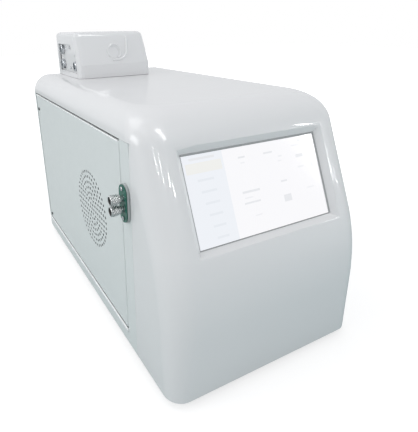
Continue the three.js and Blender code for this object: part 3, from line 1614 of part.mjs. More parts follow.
piece('side_door', makeSideDoor(), painted_grey);
piece('hinge_rail', makeHingeRail(), steel);
piece('upper_hinge_screw', makeHingeScrew(hood_skirt_height - hinge_screw_drop), black_plastic);
piece('lower_hinge_screw', makeHingeScrew(sill_height + hinge_screw_rise), black_plastic);
piece('upper_hinge_pin', makeUpperHingePin(), steel);
piece('lower_hinge_pin', makeLowerHingePin(), steel);
const door_fan_spot = [[vent_y, vent_z], door_skin + seat_gap];
const door_fan_frame = [door_fan_size, door_fan_depth, door_fan_bore, door_hub_radius];
piece('door_fan_frame', makeFanFrame('x', ...door_fan_frame, ...door_fan_spot), black_plastic);
piece('door_fan_rotor', makeFanRotor('x', ...door_fan_frame.slice(1), ...door_fan_spot), black_plastic);

piece('port_boss', makePortBoss(), port_grey);
piece('port_face', makePortFace(), port_green);
const [inlet_place, outlet_place] = unionPlaces();
piece('inlet_union', makeUnion(inlet_place), steel);
piece('inlet_nut', makeNut(inlet_place), chrome);
piece('outlet_union', makeUnion(outlet_place), steel);
piece('outlet_nut', makeNut(outlet_place), chrome);

piece('module_cover', makeModuleCover(), gloss_white);
piece('module_port_plate', makeModulePortPlate(), port_grey);
['upper', 'lower', 'front'].forEach((place, index) => {
  piece(`${place}_module_connector`, makeModuleConnector(connectorPlaces()[index]), chrome);
});

const rear_fan_spot = [[rear_fan_x, rear_fan_z], rear_inner - seat_gap - rear_fan_depth];
const rear_fan_frame = [rear_fan_size, rear_fan_depth, rear_fan_bore, rear_hub_radius];
piece('rear_fan_frame', makeFanFrame('y', ...rear_fan_frame, ...rear_fan_spot), black_plastic);
piece('rear_fan_rotor', makeFanRotor('y', ...rear_fan_frame.slice(1), ...rear_fan_spot), black_plastic);
piece('rear_fan_guard', makeFanGuard(), chrome);
piece('power_inlet', makePowerInlet(), black_plastic);
piece('fuse_drawer', makeFuseDrawer(), black_plastic);
piece('switch_bezel', makeSwitchBezel(), black_plastic);
piece('power_rocker', makeRocker(), black_plastic);
piece('data_sockets', makeDataSockets(), steel);
piece('waste_outlet', makeWasteOutlet(), white_polymer);

piece('power_supply', makePowerSupply(), inner_steel);
piece('main_board', makeMainBoard(), board_green);
piece('pump_housing', makePumpHousing(), white_polymer);
piece('pump_rotor', makePumpRotor(), steel);
piece('pump_motor', makePumpMotor(), black_plastic);
piece('pump_tube', makePumpTube(), tube_clear);
['acid', 'oxidiser'].forEach((reagent, index) => {
  piece(`${reagent}_syringe_body`, makeSyringeBody(index), white_polymer);
  piece(`${reagent}_syringe_barrel`, makeSyringeBarrel(index), clear_glass);
  piece(`${reagent}_syringe_plunger`, makeSyringePlunger(index), steel);
  piece(`${reagent}_bottle`, makeBottle(index), white_polymer);
  piece(`${reagent}_bottle_cap`, makeBottleCap(index), black_plastic);
});
piece('drip_tray', makeDripTray(), white_polymer);
piece('uv_reactor', makeReactor(), chrome);
piece('reactor_cradle', makeReactorCradle(), black_plastic);
piece('cell_block', makeCellBlock(), white_polymer);

// The origin is under the middle of the whole, on the surface that the feet stand on
const reach_left = nut_outer_x;
const reach_right = body_width + screw_head_height;
const reach_rear = rear_face + seat_gap + waste_stem_length;
case_group.position.set(-(reach_left + reach_right) / 2, -reach_rear / 2, foot_height);

export default analyzer;
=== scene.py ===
"""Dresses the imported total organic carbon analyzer: hood, door, display, ports, top module, rear and insides.

Pieces are modelled in millimetres, with x from the case's left side, y from the front's foot and z from the
case's lower edge, and stand in metres in the row frame. The door is on the -X side and the front faces -Y.
"""

import json
import logging
import math
from dataclasses import dataclass
from enum import Enum
from typing import Callable, Iterable, Optional, Sequence

import bmesh
import bpy
from mathutils import Matrix, Vector

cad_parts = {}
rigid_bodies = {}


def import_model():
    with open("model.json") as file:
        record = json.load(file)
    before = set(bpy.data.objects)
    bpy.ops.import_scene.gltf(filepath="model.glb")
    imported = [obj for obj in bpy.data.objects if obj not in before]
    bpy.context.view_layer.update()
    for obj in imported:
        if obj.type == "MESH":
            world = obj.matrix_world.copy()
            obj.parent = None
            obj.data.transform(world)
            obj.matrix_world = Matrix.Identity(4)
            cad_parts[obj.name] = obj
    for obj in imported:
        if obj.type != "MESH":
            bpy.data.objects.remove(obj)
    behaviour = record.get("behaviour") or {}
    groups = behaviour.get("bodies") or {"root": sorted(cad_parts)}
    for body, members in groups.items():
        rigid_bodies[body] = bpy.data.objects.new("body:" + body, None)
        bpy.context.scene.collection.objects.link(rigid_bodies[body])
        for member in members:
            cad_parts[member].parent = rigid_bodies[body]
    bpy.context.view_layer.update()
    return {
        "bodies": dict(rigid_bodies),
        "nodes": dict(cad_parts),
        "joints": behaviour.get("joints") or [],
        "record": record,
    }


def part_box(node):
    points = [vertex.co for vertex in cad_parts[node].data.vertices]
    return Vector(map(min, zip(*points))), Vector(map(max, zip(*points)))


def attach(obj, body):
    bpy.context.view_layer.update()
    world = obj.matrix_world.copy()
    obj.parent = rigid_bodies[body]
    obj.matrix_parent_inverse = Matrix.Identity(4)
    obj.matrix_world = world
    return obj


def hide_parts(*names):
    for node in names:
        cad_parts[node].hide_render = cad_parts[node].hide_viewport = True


LOG = logging.getLogger("analyzer")
MILLI = 0.001
CASE_TO_ROW = Matrix.Translation((-0.1216, -0.24455, 0.008)) @ Matrix.Scale(MILLI, 4)
PICTURE = "picture"
Point = Sequence[float]
Pair = tuple[float, float]
Triple = tuple[float, float, float]
Socket = bpy.types.NodeSocket
Mesh = bmesh.types.BMesh
Ring = list[bmesh.types.BMVert]
Piece = bpy.types.Object


class Axis(Enum):
    """A direction that a turned form is made along."""

    X = Vector((1, 0, 0))
    Y = Vector((0, 1, 0))
    Z = Vector((0, 0, 1))


class Body(Enum):
    """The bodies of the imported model."""

    CASE = "case"
    DOOR = "door"
    DOOR_FAN = "door_fan"
    REAR_FAN = "rear_fan"
    PUMP = "pump_drive"
    ACID_PLUNGER = "acid_plunger"
    OXIDISER_PLUNGER = "oxidiser_plunger"
    ROCKER = "rocker"
    FUSE = "fuse_carrier"
    INLET_KNOB = "inlet_knob"
    OUTLET_KNOB = "outlet_knob"
    ACID_CAP = "acid_cap"
    OXIDISER_CAP = "oxidiser_cap"


# Finishes


class Nodes:
    """A shader tree that is filled node by node."""

    def __init__(self, owner: bpy.types.ID) -> None:
        """Empties an owner's tree.

        Args:
            owner: a material or a world.
        """
        owner.use_nodes = True
        self.tree = owner.node_tree
        self.tree.nodes.clear()

    def add(self, kind: str, inputs: dict, output: object = 0, **settings: object) -> Optional[Socket]:
        """Adds a node.

        Args:
            kind: its type, after ShaderNode.
            inputs: each input's name or number, with a value or the socket that it is linked to.
            output: the name or number of the output that is wanted.
            **settings: the node's own settings.

        Returns:
            The output, or None if the node has none.
        """
        made = self.tree.nodes.new(f"ShaderNode{kind}")
        for name, value in settings.items():
            setattr(made, name, value)
        for name, value in inputs.items():
            if isinstance(value, bpy.types.NodeSocket):
                self.tree.links.new(value, made.inputs[name])
            else:
                made.inputs[name].default_value = value
        return made.outputs[output] if len(made.outputs) else None

    def ranged(self, value: Socket, start: Pair, result: Pair, **settings: object) -> Socket:
        """A value moved from the range of start to that of result, with the node's own settings."""
        limits = dict(zip(("From Min", "From Max", "To Min", "To Max"), (*start, *result)))
        return self.add("MapRange", {"Value": value, **limits}, **settings)

    def mixed(self, share: Socket, first: Triple, second: Triple) -> Socket:
        """A colour between two, the second where share is 1."""
        return self.add("Mix", {0: share, 6: (*first, 1.0), 7: (*second, 1.0)}, 2, data_type="RGBA")


class Kind(Enum):
    """What a fine pattern is made of."""

    NOISE = "noise"
    CELLS = "cells"
    EDGES = "rubbed edges"


@dataclass(frozen=True)
class Pattern:
    """A fine pattern: cells in a metre, octaves, a stretch of each axis, and how far an edge has to bend."""

    scale: float = 0.0
    detail: float = 2.0
    stretch: Optional[Triple] = None
    kind: Kind = Kind.NOISE
    bend: Pair = (0.52, 0.6)

    def read(self, nodes: Nodes) -> Socket:
        """Adds the pattern to a tree.

        Args:
            nodes: the tree.

        Returns:
            The pattern's value.
        """
        if self.kind is Kind.EDGES:
            return nodes.ranged(nodes.add("NewGeometry", {}, "Pointiness"), self.bend, (0.0, 1.0))
        place = nodes.add("TexCoord", {}, "Object")
        if self.kind is Kind.CELLS:
            return nodes.add("TexVoronoi", {"Vector": place, "Scale": self.scale}, "Distance")
        if self.stretch:
            place = nodes.add("Mapping", {"Vector": place, "Scale": self.stretch})
        return nodes.add("TexNoise", {"Vector": place, "Scale": self.scale, "Detail": self.detail})


@dataclass(frozen=True)
class Surface:
    """A Principled surface, which is moulded plastic unless its fields say otherwise.

    Its linear colour takes the factors of shades along the mottle, and its roughness goes through rough where
    the sheen's pattern goes through reach. A relief has a pattern and a depth in metres, and a lower relief
    may lie under it. The coat has a weight and a roughness, and glow is the light of its picture.
    """

    name: str
    colour: Triple
    rough: Pair = (0.39, 0.53)
    depth: float = 0.00004
    ior: float = 1.48
    metal: float = 0.0
    clear: float = 0.0
    coat: Pair = (0.0, 0.03)
    mottle: Optional[Pattern] = Pattern(kind=Kind.EDGES)
    shades: Pair = (1.0, 1.35)
    sheen: Pattern = Pattern(180.0, 3.0)
    reach: Pair = (0.3, 0.7)
    relief: Pattern = Pattern(1500.0)
    lower: tuple[tuple[Pattern, float], ...] = ()
    glow: float = 0.0

    def material(self) -> bpy.types.Material:
        """The material, made when it is first asked for.

        Returns:
            The material.
        """
        made = bpy.data.materials.get(self.name)
        if made is not None:
            return made
        made = bpy.data.materials.new(self.name)
        nodes = Nodes(made)
        inputs = {
            "Base Color": (*self.colour, 1.0), "IOR": self.ior, "Metallic": self.metal,
            "Transmission Weight": self.clear, "Coat Weight": self.coat[0], "Coat Roughness": self.coat[1],
            "Roughness": nodes.ranged(self.sheen.read(nodes), self.reach, self.rough),
        }
        if self.mottle:
            ends = [[min(part * factor, 1.0) for part in self.colour] for factor in self.shades]
            inputs["Base Color"] = nodes.mixed(self.mottle.read(nodes), *ends)
        if self.glow:
            inputs["Emission Color"] = nodes.add("Attribute", {}, "Color", attribute_name=PICTURE)
            inputs["Emission Strength"] = self.glow
        for pattern, depth in (*self.lower, (self.relief, self.depth)):
            bump = {"Strength": 1.0, "Distance": depth, "Height": pattern.read(nodes)}
            below = {name: inputs[name] for name in ("Normal",) if name in inputs}
            inputs["Normal"] = nodes.add("Bump", {**bump, **below})
        nodes.add("OutputMaterial", {0: nodes.add("BsdfPrincipled", inputs)})
        return made


@dataclass(frozen=True)
class Metal(Surface):
    """Turned metal with fine tool marks along the piece and paler rubbed edges."""

    rough: Pair = (0.2, 0.36)
    depth: float = 0.000006
    ior: float = 1.5
    metal: float = 1.0
    shades: Pair = (1.0, 1.25)
    sheen: Pattern = Pattern(260.0, 3.0)
    relief: Pattern = Pattern(900.0, 1.0, (3.0, 0.3, 0.3))


@dataclass(frozen=True)
class ClearWall(Surface):
    """Clear glass or clear polymer, with the slight waviness of a drawn or blown wall."""

    rough: Pair = (0.04, 0.12)
    depth: float = 0.00008
    ior: float = 1.46
    clear: float = 0.5
    mottle: Optional[Pattern] = Pattern(60.0)
    shades: Pair = (0.96, 1.0)
    sheen: Pattern = Pattern(140.0)
    relief: Pattern = Pattern(70.0, 1.0)


class Finish(Enum):
    """The finishes, each with the record's slot that it stands for."""

    SHELL = ("gloss_shell", Surface(
        "shell_finish", (0.775, 0.778, 0.787), (0.3, 0.36), 0.0000004, 1.46, coat=(0.75, 0.022),
        mottle=Pattern(6.0), shades=(0.985, 1.01), sheen=Pattern(18.0),
        relief=Pattern(1800.0, 1.0), lower=((Pattern(9.0, 1.0), 0.00035),),
    ))
    PAINT = ("painted_steel", Surface(
        "paint_finish", (0.715, 0.752, 0.752), (0.3, 0.4), 0.0001, 1.5, coat=(0.2, 0.15),
        mottle=Pattern(40.0, 4.0), shades=(0.98, 1.015), sheen=Pattern(110.0),
        relief=Pattern(10.0, 1.0), lower=((Pattern(900.0, 1.0), 0.00001),),
    ))
    ZINC = ("inner_steel", Surface(
        "zinc_finish", (0.56, 0.58, 0.60), (0.34, 0.42), 0.00003, 1.5, metal=0.9,
        mottle=Pattern(60.0, kind=Kind.CELLS), shades=(0.96, 1.04), sheen=Pattern(60.0, kind=Kind.CELLS),
        reach=(0.0, 0.8), relief=Pattern(300.0, stretch=(1.0, 0.05, 1.0)),
    ))
    STEEL = ("bare_steel", Metal("steel_finish", (0.54, 0.56, 0.58)))
    # painted highlight: a near-white finish for strips that stand in for the glint on bent sheet edges
    HIGHLIGHT = ("white_polymer", Surface("painted_highlight", (0.93, 0.935, 0.94), (0.19, 0.33), 0.000002))
    NUT = ("chrome_plate", Metal("nut_finish", (0.58, 0.59, 0.59)))
    CHROME = ("chrome_plate", Surface(
        "chrome_finish", (0.70, 0.72, 0.74), (0.1, 0.24), 0.000008, 1.5, metal=1.0,
        mottle=Pattern(160.0, 3.0), shades=(0.92, 1.06), sheen=Pattern(420.0, 4.0), reach=(0.35, 0.7),
        relief=Pattern(1400.0, 1.0),
    ))
    DARK = ("dark_plastic", Surface("dark_plastic", (0.025, 0.026, 0.028)))
    GREY = ("grey_plastic", Surface("grey_plastic", (0.68, 0.71, 0.71), (0.29, 0.43)))
    GREEN = ("green_plastic", Surface("green_plastic", (0.0, 0.088, 0.064), (0.14, 0.28), 0.000004, 1.05))
    # a real filter foam, also used for black strips that paint the shade in the louvre openings
    FOAM_AND_SHADE = ("dark_plastic", Surface("filter_foam_and_shade", (0.012, 0.013, 0.014), (0.84, 0.98), 0.0003))
    COPPER = ("bare_steel", Metal("copper_finish", (0.72, 0.42, 0.28)))
    CABLE = ("dark_plastic", Surface("cable_jacket", (0.05, 0.055, 0.06), (0.44, 0.58), 0.00002))
    AMBER = ("clear_tube", ClearWall("amber_tube", (0.75, 0.48, 0.16), (0.1, 0.18), clear=0.4))
    WHITE = ("white_polymer", Surface("white_polymer", (0.78, 0.80, 0.80), (0.44, 0.58)))
    BOTTLE = ("bottle_polymer", ClearWall("bottle_polymer", (0.86, 0.88, 0.86), (0.3, 0.38), clear=0.35))
    RUBBER = ("foot_rubber", Surface("foot_rubber", (0.02, 0.02, 0.021), (0.64, 0.78), 0.00008))
    GASKET = ("foot_rubber", Surface("grey_rubber", (0.27, 0.28, 0.285), (0.54, 0.68), 0.00003))
    SCREEN = ("display_glass", Surface(
        "screen_finish", (0.03, 0.032, 0.035), (0.08, 0.14), 0.000003, 1.5, coat=(1.0, 0.02),
        mottle=None, sheen=Pattern(300.0), relief=Pattern(900.0, 1.0), glow=0.93,
    ))
    GLASS = ("clear_glass", ClearWall("clear_glass", (0.9, 0.96, 0.97), clear=0.95))
    BOARD = ("circuit_board", Surface("circuit_board", (0.02, 0.15, 0.06), (0.29, 0.43)))
    TUBE = ("clear_tube", ClearWall("clear_tube", (0.78, 0.74, 0.6), (0.15, 0.23)))

    def __init__(self, slot: str, surface: Surface) -> None:
        """Keeps the record's material slot and how the finish looks."""
        self.slot, self.surface = slot, surface


# Forming helpers


def open_edges(shape: Mesh) -> list[bmesh.types.BMEdge]:
    """The edges that only one face has."""
    return [edge for edge in shape.edges if len(edge.link_faces) == 1]


def extruded(shape: Mesh, edges: Iterable[bmesh.types.BMEdge]) -> Ring:
    """Extrudes edges and gives the new vertices."""
    made = bmesh.ops.extrude_edge_only(shape, edges=list(edges))["geom"]
    return [part for part in made if isinstance(part, bmesh.types.BMVert)]


def extruded_ring(shape: Mesh, ring: Ring, places: Sequence[Point], closed: bool = True) -> Ring:
    """Extrudes a chain of edges and moves its new vertices.

    Args:
        shape: the mesh.
        ring: the chain's vertices in order.
        places: where each new vertex goes.
        closed: whether the last vertex joins the first.

    Returns:
        The new vertices in the same order.
    """
    pairs = list(zip(ring, ring[1:] + ring[:1]))
    fresh = set(extruded(shape, [shape.edges.get(pair) for pair in (pairs if closed else pairs[:-1])]))
    new_ring = []
    for vertex, place in zip(ring, places):
        twin = next(edge.other_vert(vertex) for edge in vertex.link_edges if edge.other_vert(vertex) in fresh)
        twin.co = place
        new_ring.append(twin)
    return new_ring


def drawn_ring(shape: Mesh, places: Sequence[Point], closed: bool = True) -> Ring:
    """Vertices joined by edges in order.

    Args:
        shape: the mesh.
        places: where they are.
        closed: whether the last joins the first.

    Returns:
        The vertices.
    """
    ring = [shape.verts.new(place) for place in places]
    for first, second in zip(ring, ring[1:] + ring[:1] if closed else ring[1:]):
        shape.edges.new((first, second))
    return ring


def cut(shape: Mesh, place: Point, normal: Point) -> None:
    """Cuts a mesh along a plane and keeps both sides."""
    every = shape.verts[:] + shape.edges[:] + shape.faces[:]
    bmesh.ops.bisect_plane(shape, geom=every, plane_co=place, plane_no=normal)


def turned(profile: Sequence[Pair], axis: Axis, centre: Point, steps: int = 32) -> Mesh:
    """A form turned round an axis.

    Args:
        profile: pairs of radius and place along the axis, in order.
        axis: the axis' direction.
        centre: a point on the axis; its own value along the axis counts as nothing.
        steps: how many steps the turn has.

    Returns:
        The closed mesh.
    """
    shape = bmesh.new()
    along = axis.value
    out = Vector((0, 1, 0)) if axis is Axis.X else Vector((1, 0, 0))
    base = Vector(centre) - along * Vector(centre).dot(along)
    drawn_ring(shape, [base + out * radius + along * place for radius, place in profile], False)
    line = shape.verts[:] + shape.edges[:]
    bmesh.ops.spin(shape, geom=line, cent=base, axis=along, angle=math.tau, steps=steps, use_merge=True)
    bmesh.ops.remove_doubles(shape, verts=shape.verts, dist=1e-4)
    bmesh.ops.recalc_face_normals(shape, faces=shape.faces)
    return shape


def arms(shape: Mesh, axis: Axis, centre: Point, steps: int) -> list[tuple[bmesh.types.BMVert, Vector, int]]:
    """How each vertex stands round an axis.

    Args:
        shape: the mesh.
        axis: the axis' direction.
        centre: a point on the axis.
        steps: how many steps a full turn has.

    Returns:
        Each vertex with its arm from the axis and the step of the turn that it is on.
    """
    found = []
    for vertex in shape.verts:
        arm = vertex.co - Vector(centre)
        arm -= axis.value * arm.dot(axis.value)
        turn = math.atan2(*(part for part, own in zip(arm, axis.value) if not own))
        found.append((vertex, arm, round(turn / math.tau * steps)))
    return found


def rounded_edges(shape: Mesh, width: float, segments: int = 2, sharp: float = 33.0) -> None:
    """Rounds every edge that turns by more than an angle.

    Args:
        shape: the mesh.
        width: how far the rounding reaches.
        segments: how many faces it has.
        sharp: the angle in degrees.
    """
    limit = math.radians(sharp)
    edges = [edge for edge in shape.edges if len(edge.link_faces) == 2 and edge.calc_face_angle(0.0) > limit]
    bmesh.ops.bevel(
        shape, geom=edges, offset=width, offset_type="OFFSET", affect="EDGES", segments=segments,
        profile=0.5, material=-1, clamp_overlap=True,
    )


def merged(target: Mesh, *others: Mesh) -> Mesh:
    """Adds meshes to one and frees them.

    Args:
        target: the mesh that grows.
        *others: what is added.

    Returns:
        The grown mesh.
    """
    for other in others:
        kept = bpy.data.meshes.new("kept")
        other.to_mesh(kept)
        target.from_mesh(kept)
        bpy.data.meshes.remove(kept)
        other.free()
    return target


def soft_block(low: Point, high: Point, edge: float, segments: int = 2) -> Mesh:
    """A block whose edges are rounded.

    Args:
        low: lowest corner.
        high: highest corner.
        edge: the rounding's radius.
        segments: how many faces the rounding has.

    Returns:
        The mesh.
    """
    shape = bmesh.new()
    bmesh.ops.create_cube(shape, size=1.0)
    bmesh.ops.scale(shape, vec=Vector(high) - Vector(low), verts=shape.verts)
    bmesh.ops.translate(shape, vec=(Vector(high) + Vector(low)) / 2, verts=shape.verts)
    rounded_edges(shape, edge, segments)
    return shape


def swept(path: Sequence[Point], radius: float, sides: int) -> Mesh:
    """A round tube along a smooth line with flat ends.

    Args:
        path: the line's points.
        radius: the tube's radius.
        sides: how many sides it has.

    Returns:
        The closed mesh.
    """
    shape = bmesh.new()
    points = [Vector(point) for point in path]
    tangents = [(b - a).normalized() for a, b in zip([points[0]] + points[:-1], points[1:] + [points[-1]])]
    side = tangents[0].orthogonal().normalized()
    ring: Ring = []
    for point, tangent in zip(points, tangents):
        side = (side - tangent * side.dot(tangent)).normalized()
        up = tangent.cross(side)
        turn = [math.tau * step / sides for step in range(sides)]
        places = [point + (side * math.cos(angle) + up * math.sin(angle)) * radius for angle in turn]
        ring = extruded_ring(shape, ring, places) if ring else drawn_ring(shape, places)
    bmesh.ops.holes_fill(shape, edges=open_edges(shape), sides=sides)
    bmesh.ops.recalc_face_normals(shape, faces=shape.faces)
    return shape


def smooth_line(anchors: Sequence[Point], steps: int = 7) -> list[Vector]:
    """A smooth line through points.

    Args:
        anchors: the points it passes.
        steps: how many parts each stretch has.

    Returns:
        The line's points.
    """
    points = [Vector(anchor) for anchor in anchors]
    ends = [points[0] * 2 - points[1], *points, points[-1] * 2 - points[-2]]
    line = []
    for a, b, c, d in zip(ends, ends[1:], ends[2:], ends[3:]):
        square, cube = a * 2 - b * 5 + c * 4 - d, b * 3 - a - c * 3 + d
        shares = [step / steps for step in range(steps)]
        line += [(b * 2 + (c - a) * t + square * t * t + cube * t ** 3) / 2 for t in shares]
    return line + [points[-1]]


def hoses(radius: float, *routes: Sequence[Point], sides: int = 12) -> Mesh:
    """Round lines that each pass smoothly through the points of a route."""
    return merged(*(swept(smooth_line(route), radius, sides) for route in routes))


def screw_heads(axis: Axis, side: int, radius: float, height: float, *centres: Point) -> Mesh:
    """Domed screw heads of one size, each with a cross recess.

    Args:
        axis: the screws' axis.
        side: 1 if the heads point along the axis, -1 if against it.
        radius: a head's radius.
        height: a head's height.
        *centres: the middle of each seat.

    Returns:
        The mesh.
    """
    steps, bottom = 24, [(0.0, -0.15), (1.0, -0.15), (1.0, 0.25)]
    dome = [(0.93, 0.55), (0.8, 0.8), (0.62, 1.0), (0.56, 1.0), (0.46, 0.35), (0.0, 0.25)]
    heads = []
    for centre in centres:
        seat = Vector(centre).dot(axis.value)
        profile = [(radius * out, seat + side * height * rise) for out, rise in bottom + dome]
        head = turned(profile, axis, centre, steps)
        for vertex, arm, step in arms(head, axis, centre, steps):
            if 0.3 * radius < arm.length < 0.59 * radius and step % (steps // 4):
                vertex.co -= arm * 0.55
        heads.append(head)
    return merged(*heads)


def placed(name: str, shape: Mesh) -> Piece:
    """Puts a mesh in the scene and frees it.

    Args:
        name: the new object's name.
        shape: its mesh.

    Returns:
        The object.
    """
    mesh = bpy.data.meshes.new(name)
    shape.to_mesh(mesh)
    shape.free()
    piece = bpy.data.objects.new(name, mesh)
    bpy.context.scene.collection.objects.link(piece)
    return piece


def form(piece: Piece) -> None:
    """Makes a piece's modifiers part of its mesh.

    Args:
        piece: the piece.
    """
    before = piece.data
    graph = bpy.context.evaluated_depsgraph_get()
    after = bpy.data.meshes.new_from_object(piece.evaluated_get(graph))
    piece.modifiers.clear()
    piece.data = after
    bpy.data.meshes.remove(before)
    after.name = piece.name


def settled(
    name: str, shape: Mesh, finish: Finish, body: Body = Body.CASE, node: str = "", sharp: float = 40.0,
    modify: Optional[Callable[[Piece], None]] = None,
) -> Piece:
    """Makes a piece of a mesh: places, smooths, dresses and seats it.

    Args:
        name: the piece's name.
        shape: its mesh, in case millimetres.
        finish: its finish.
        body: the body that it moves with.
        node: the CAD node that it stands for, if any.
        sharp: the angle in degrees from which an edge looks sharp.
        modify: adds modifiers, which are then made part of the mesh.

    Returns:
        The piece.
    """
    bmesh.ops.transform(shape, matrix=CASE_TO_ROW, verts=shape.verts)
    piece = placed(name, shape)
    if modify is not None:
        modify(piece)
        form(piece)
    piece.data.shade_smooth()
    piece.data.set_sharp_from_angle(angle=math.radians(sharp))
    piece.modifiers.new("even", "WEIGHTED_NORMAL").keep_sharp = True
    form(piece)
    piece.data.materials.clear()
    piece.data.materials.append(finish.surface.material())
    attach(piece, body.value)
    if node:
        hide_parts(node)
    LOG.info("%s: %d faces on %s", name, len(piece.data.polygons), body.value)
    return piece


# Sub-assemblies


@dataclass
class SubAssembly:
    """Pieces that belong together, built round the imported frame."""

    frame: dict

    def copy(
        self, finish: Finish, edge: float, *nodes: str, body: Body = Body.CASE, sharp: float = 33.0,
        segments: int = 2,
    ) -> None:
        """Makes finer copies of CAD nodes: flat faces joined, edges rounded, curves smooth.

        Args:
            finish: their finish.
            edge: the rounding's reach.
            *nodes: their names.
            body: the body that they move with.
            sharp: the angle in degrees from which an edge is rounded.
            segments: how many faces the rounding has.
        """
        for node in nodes:
            source = self.frame["nodes"][node].data.copy()
            if "custom_normal" in source.attributes:
                source.attributes.remove(source.attributes["custom_normal"])
            shape = bmesh.new()
            shape.from_mesh(source)
            bpy.data.meshes.remove(source)
            bmesh.ops.transform(shape, matrix=CASE_TO_ROW.inverted(), verts=shape.verts)
            bmesh.ops.remove_doubles(shape, verts=shape.verts, dist=1e-3)
            flat = math.radians(0.6)
            bmesh.ops.dissolve_limit(
                shape, angle_limit=flat, verts=shape.verts, edges=shape.edges, delimit={"NORMAL"}
            )
            rounded_edges(shape, edge, segments, sharp)
            settled(f"{node}_form", shape, finish, body, node)


@dataclass
class Studio:
    """Pale floor, soft light and the photograph's camera.

    Floor tones in the light it throws back are given near and far from a place; the darker one near it is
    painted shade.
    A lamp's place is degrees to the right of straight ahead, degrees up, and metres away from the hood's front
    corner.
    """

    floor_half: float = 6.0
    # painted shade: the tone of the light the floor throws back near the object, then away from it
    bounce_shade: tuple[Triple, Triple] = ((0.36, 0.45, 0.465), (0.54, 0.585, 0.58))
    bounce_shade_centre: Triple = (0.24, -0.42, 0.0)
    bounce_shade_reach: Pair = (0.12, 0.75)
    glow_reach: Pair = (0.35, 0.9)
    glow: Pair = (0.68, 1.0)
    catch: float = 0.42
    sky: Pair = (0.655, 0.79)
    sky_colour: Triple = (0.965, 0.98, 1.0)
    lit: Triple = (-0.1, -0.19, 0.24)
    soft_away: float = 2.4
    glint_away: float = 2.2
    lens_pixels: float = 397.945
    image: tuple[int, int] = (418, 432)
    axis_pixel: Pair = (152.78, 195.2)
    eye: Triple = (-0.2660, -0.48945, 0.3621)
    forward: Triple = (0.4215, 0.8194, -0.3884)
    right: Triple = (0.8856, -0.464, -0.018)

    def build(self) -> None:
        """Makes the floor, the world, the lamps and the camera."""
        self.floor()
        self.world()
        self.lamps()
        self.camera()

    def floor(self) -> None:
        """A plain pale floor that shows white and keeps the object's shadow; the light it throws back is darker
        near the object, a painted shadow.
        """
        shape = bmesh.new()
        bmesh.ops.create_grid(shape, x_segments=8, y_segments=8, size=self.floor_half)
        floor = placed("floor", shape)
        material = bpy.data.materials.new("pale_floor")
        nodes = Nodes(material)
        # painted shade: the floor throws back darker light near the object
        near = self.reached(nodes, self.bounce_shade_centre, self.bounce_shade_reach, (0.0, 1.0))
        plain = nodes.add("BsdfDiffuse", {"Color": nodes.mixed(near, *self.bounce_shade)})
        glow = nodes.add("Emission", {"Strength": self.reached(nodes, (0, 0, 0), self.glow_reach, self.glow)})
        catch = nodes.add("BsdfDiffuse", {"Color": (self.catch, self.catch, self.catch, 1.0)})
        shown = nodes.add("AddShader", {0: catch, 1: glow})
        rays = [nodes.add("LightPath", {}, f"Is {kind} Ray") for kind in ("Camera", "Transmission")]
        seen = nodes.add("Math", {0: rays[0], 1: rays[1]}, operation="MAXIMUM")
        nodes.add("OutputMaterial", {0: nodes.add("MixShader", {0: seen, 1: plain, 2: shown})})
        floor.data.materials.append(material)

    def reached(self, nodes: Nodes, centre: Triple, reach: Pair, values: Pair) -> Socket:
        """A value that changes with the distance from a place.

        Args:
            nodes: the floor's tree.
            centre: the place.
            reach: distances at which it starts to change and is changed in full.
            values: the value near the place and away from it.

        Returns:
            The value.
        """
        place = nodes.add("TexCoord", {}, "Object")
        distance = nodes.add("VectorMath", {0: place, 1: centre}, "Value", operation="DISTANCE")
        return nodes.ranged(distance, reach, values)

    def world(self) -> None:
        """White round the object where it is seen, and a soft sky, brighter behind, where it isn't."""
        world = bpy.data.worlds.new("studio")
        bpy.context.scene.world = world
        nodes = Nodes(world)
        depth = nodes.add("SeparateXYZ", {0: nodes.add("TexCoord", {}, "Generated")}, "Y")
        strength = nodes.ranged(depth, (-1.0, 1.0), self.sky, interpolation_type="SMOOTHSTEP")
        soft = nodes.add("Background", {"Color": (*self.sky_colour, 1.0), "Strength": strength})
        white = nodes.add("Background", {"Color": (1.0, 1.0, 1.0, 1.0), "Strength": 1.0})
        seen = nodes.add("LightPath", {}, "Is Camera Ray")
        nodes.add("OutputWorld", {0: nodes.add("MixShader", {0: seen, 1: soft, 2: white})})

    def lamps(self) -> None:
        """Soft lamps above, at the left and in front, and ones that glint on the hood and its corners."""
        self.lamp("soft_above", (-36.0, 57.0, self.soft_away), (1.3, 1.1), 5.8, behind=True)
        self.lamp("soft_left", (-80.0, 26.0, self.soft_away), (1.2, 0.9), 13.0, behind=True)
        glints = [
            ("far_left", -30.0, 27.5, 0.05, 0.24, 1.5), ("left", -15.0, 27.5, 0.06, 0.20, 1.4),
            ("middle", 6.0, 26.0, 0.07, 0.09, 1.2), ("low", 15.5, 23.5, 0.05, 0.09, 1.0),
            ("high", 29.0, 61.0, 0.34, 1.45, 12.5), ("top", 45.0, 70.0, 0.05, 0.09, 0.5),
            ("crown", -80.0, 72.0, 0.05, 0.06, 0.5), ("back", -150.0, 66.0, 0.06, 0.05, 0.5),
            ("rear", -172.0, 57.0, 0.05, 0.05, 0.4), ("right", 54.5, 17.0, 0.045, 0.5, 1.5),
            ("far_right", 60.0, 9.0, 0.05, 0.12, 0.7),
        ]
        for name, turn, rise, width, height, power in glints:
            glint = self.lamp(f"{name}_glint", (turn, rise, self.glint_away), (width, height), power)
            glint.visible_diffuse = name != "high"
        front = self.lamp("soft_front", (50.0, -8.0, self.soft_away), (1.0, 0.8), 10.0)
        front.visible_glossy = False
        front.data.color = (0.8, 0.97, 1.0)

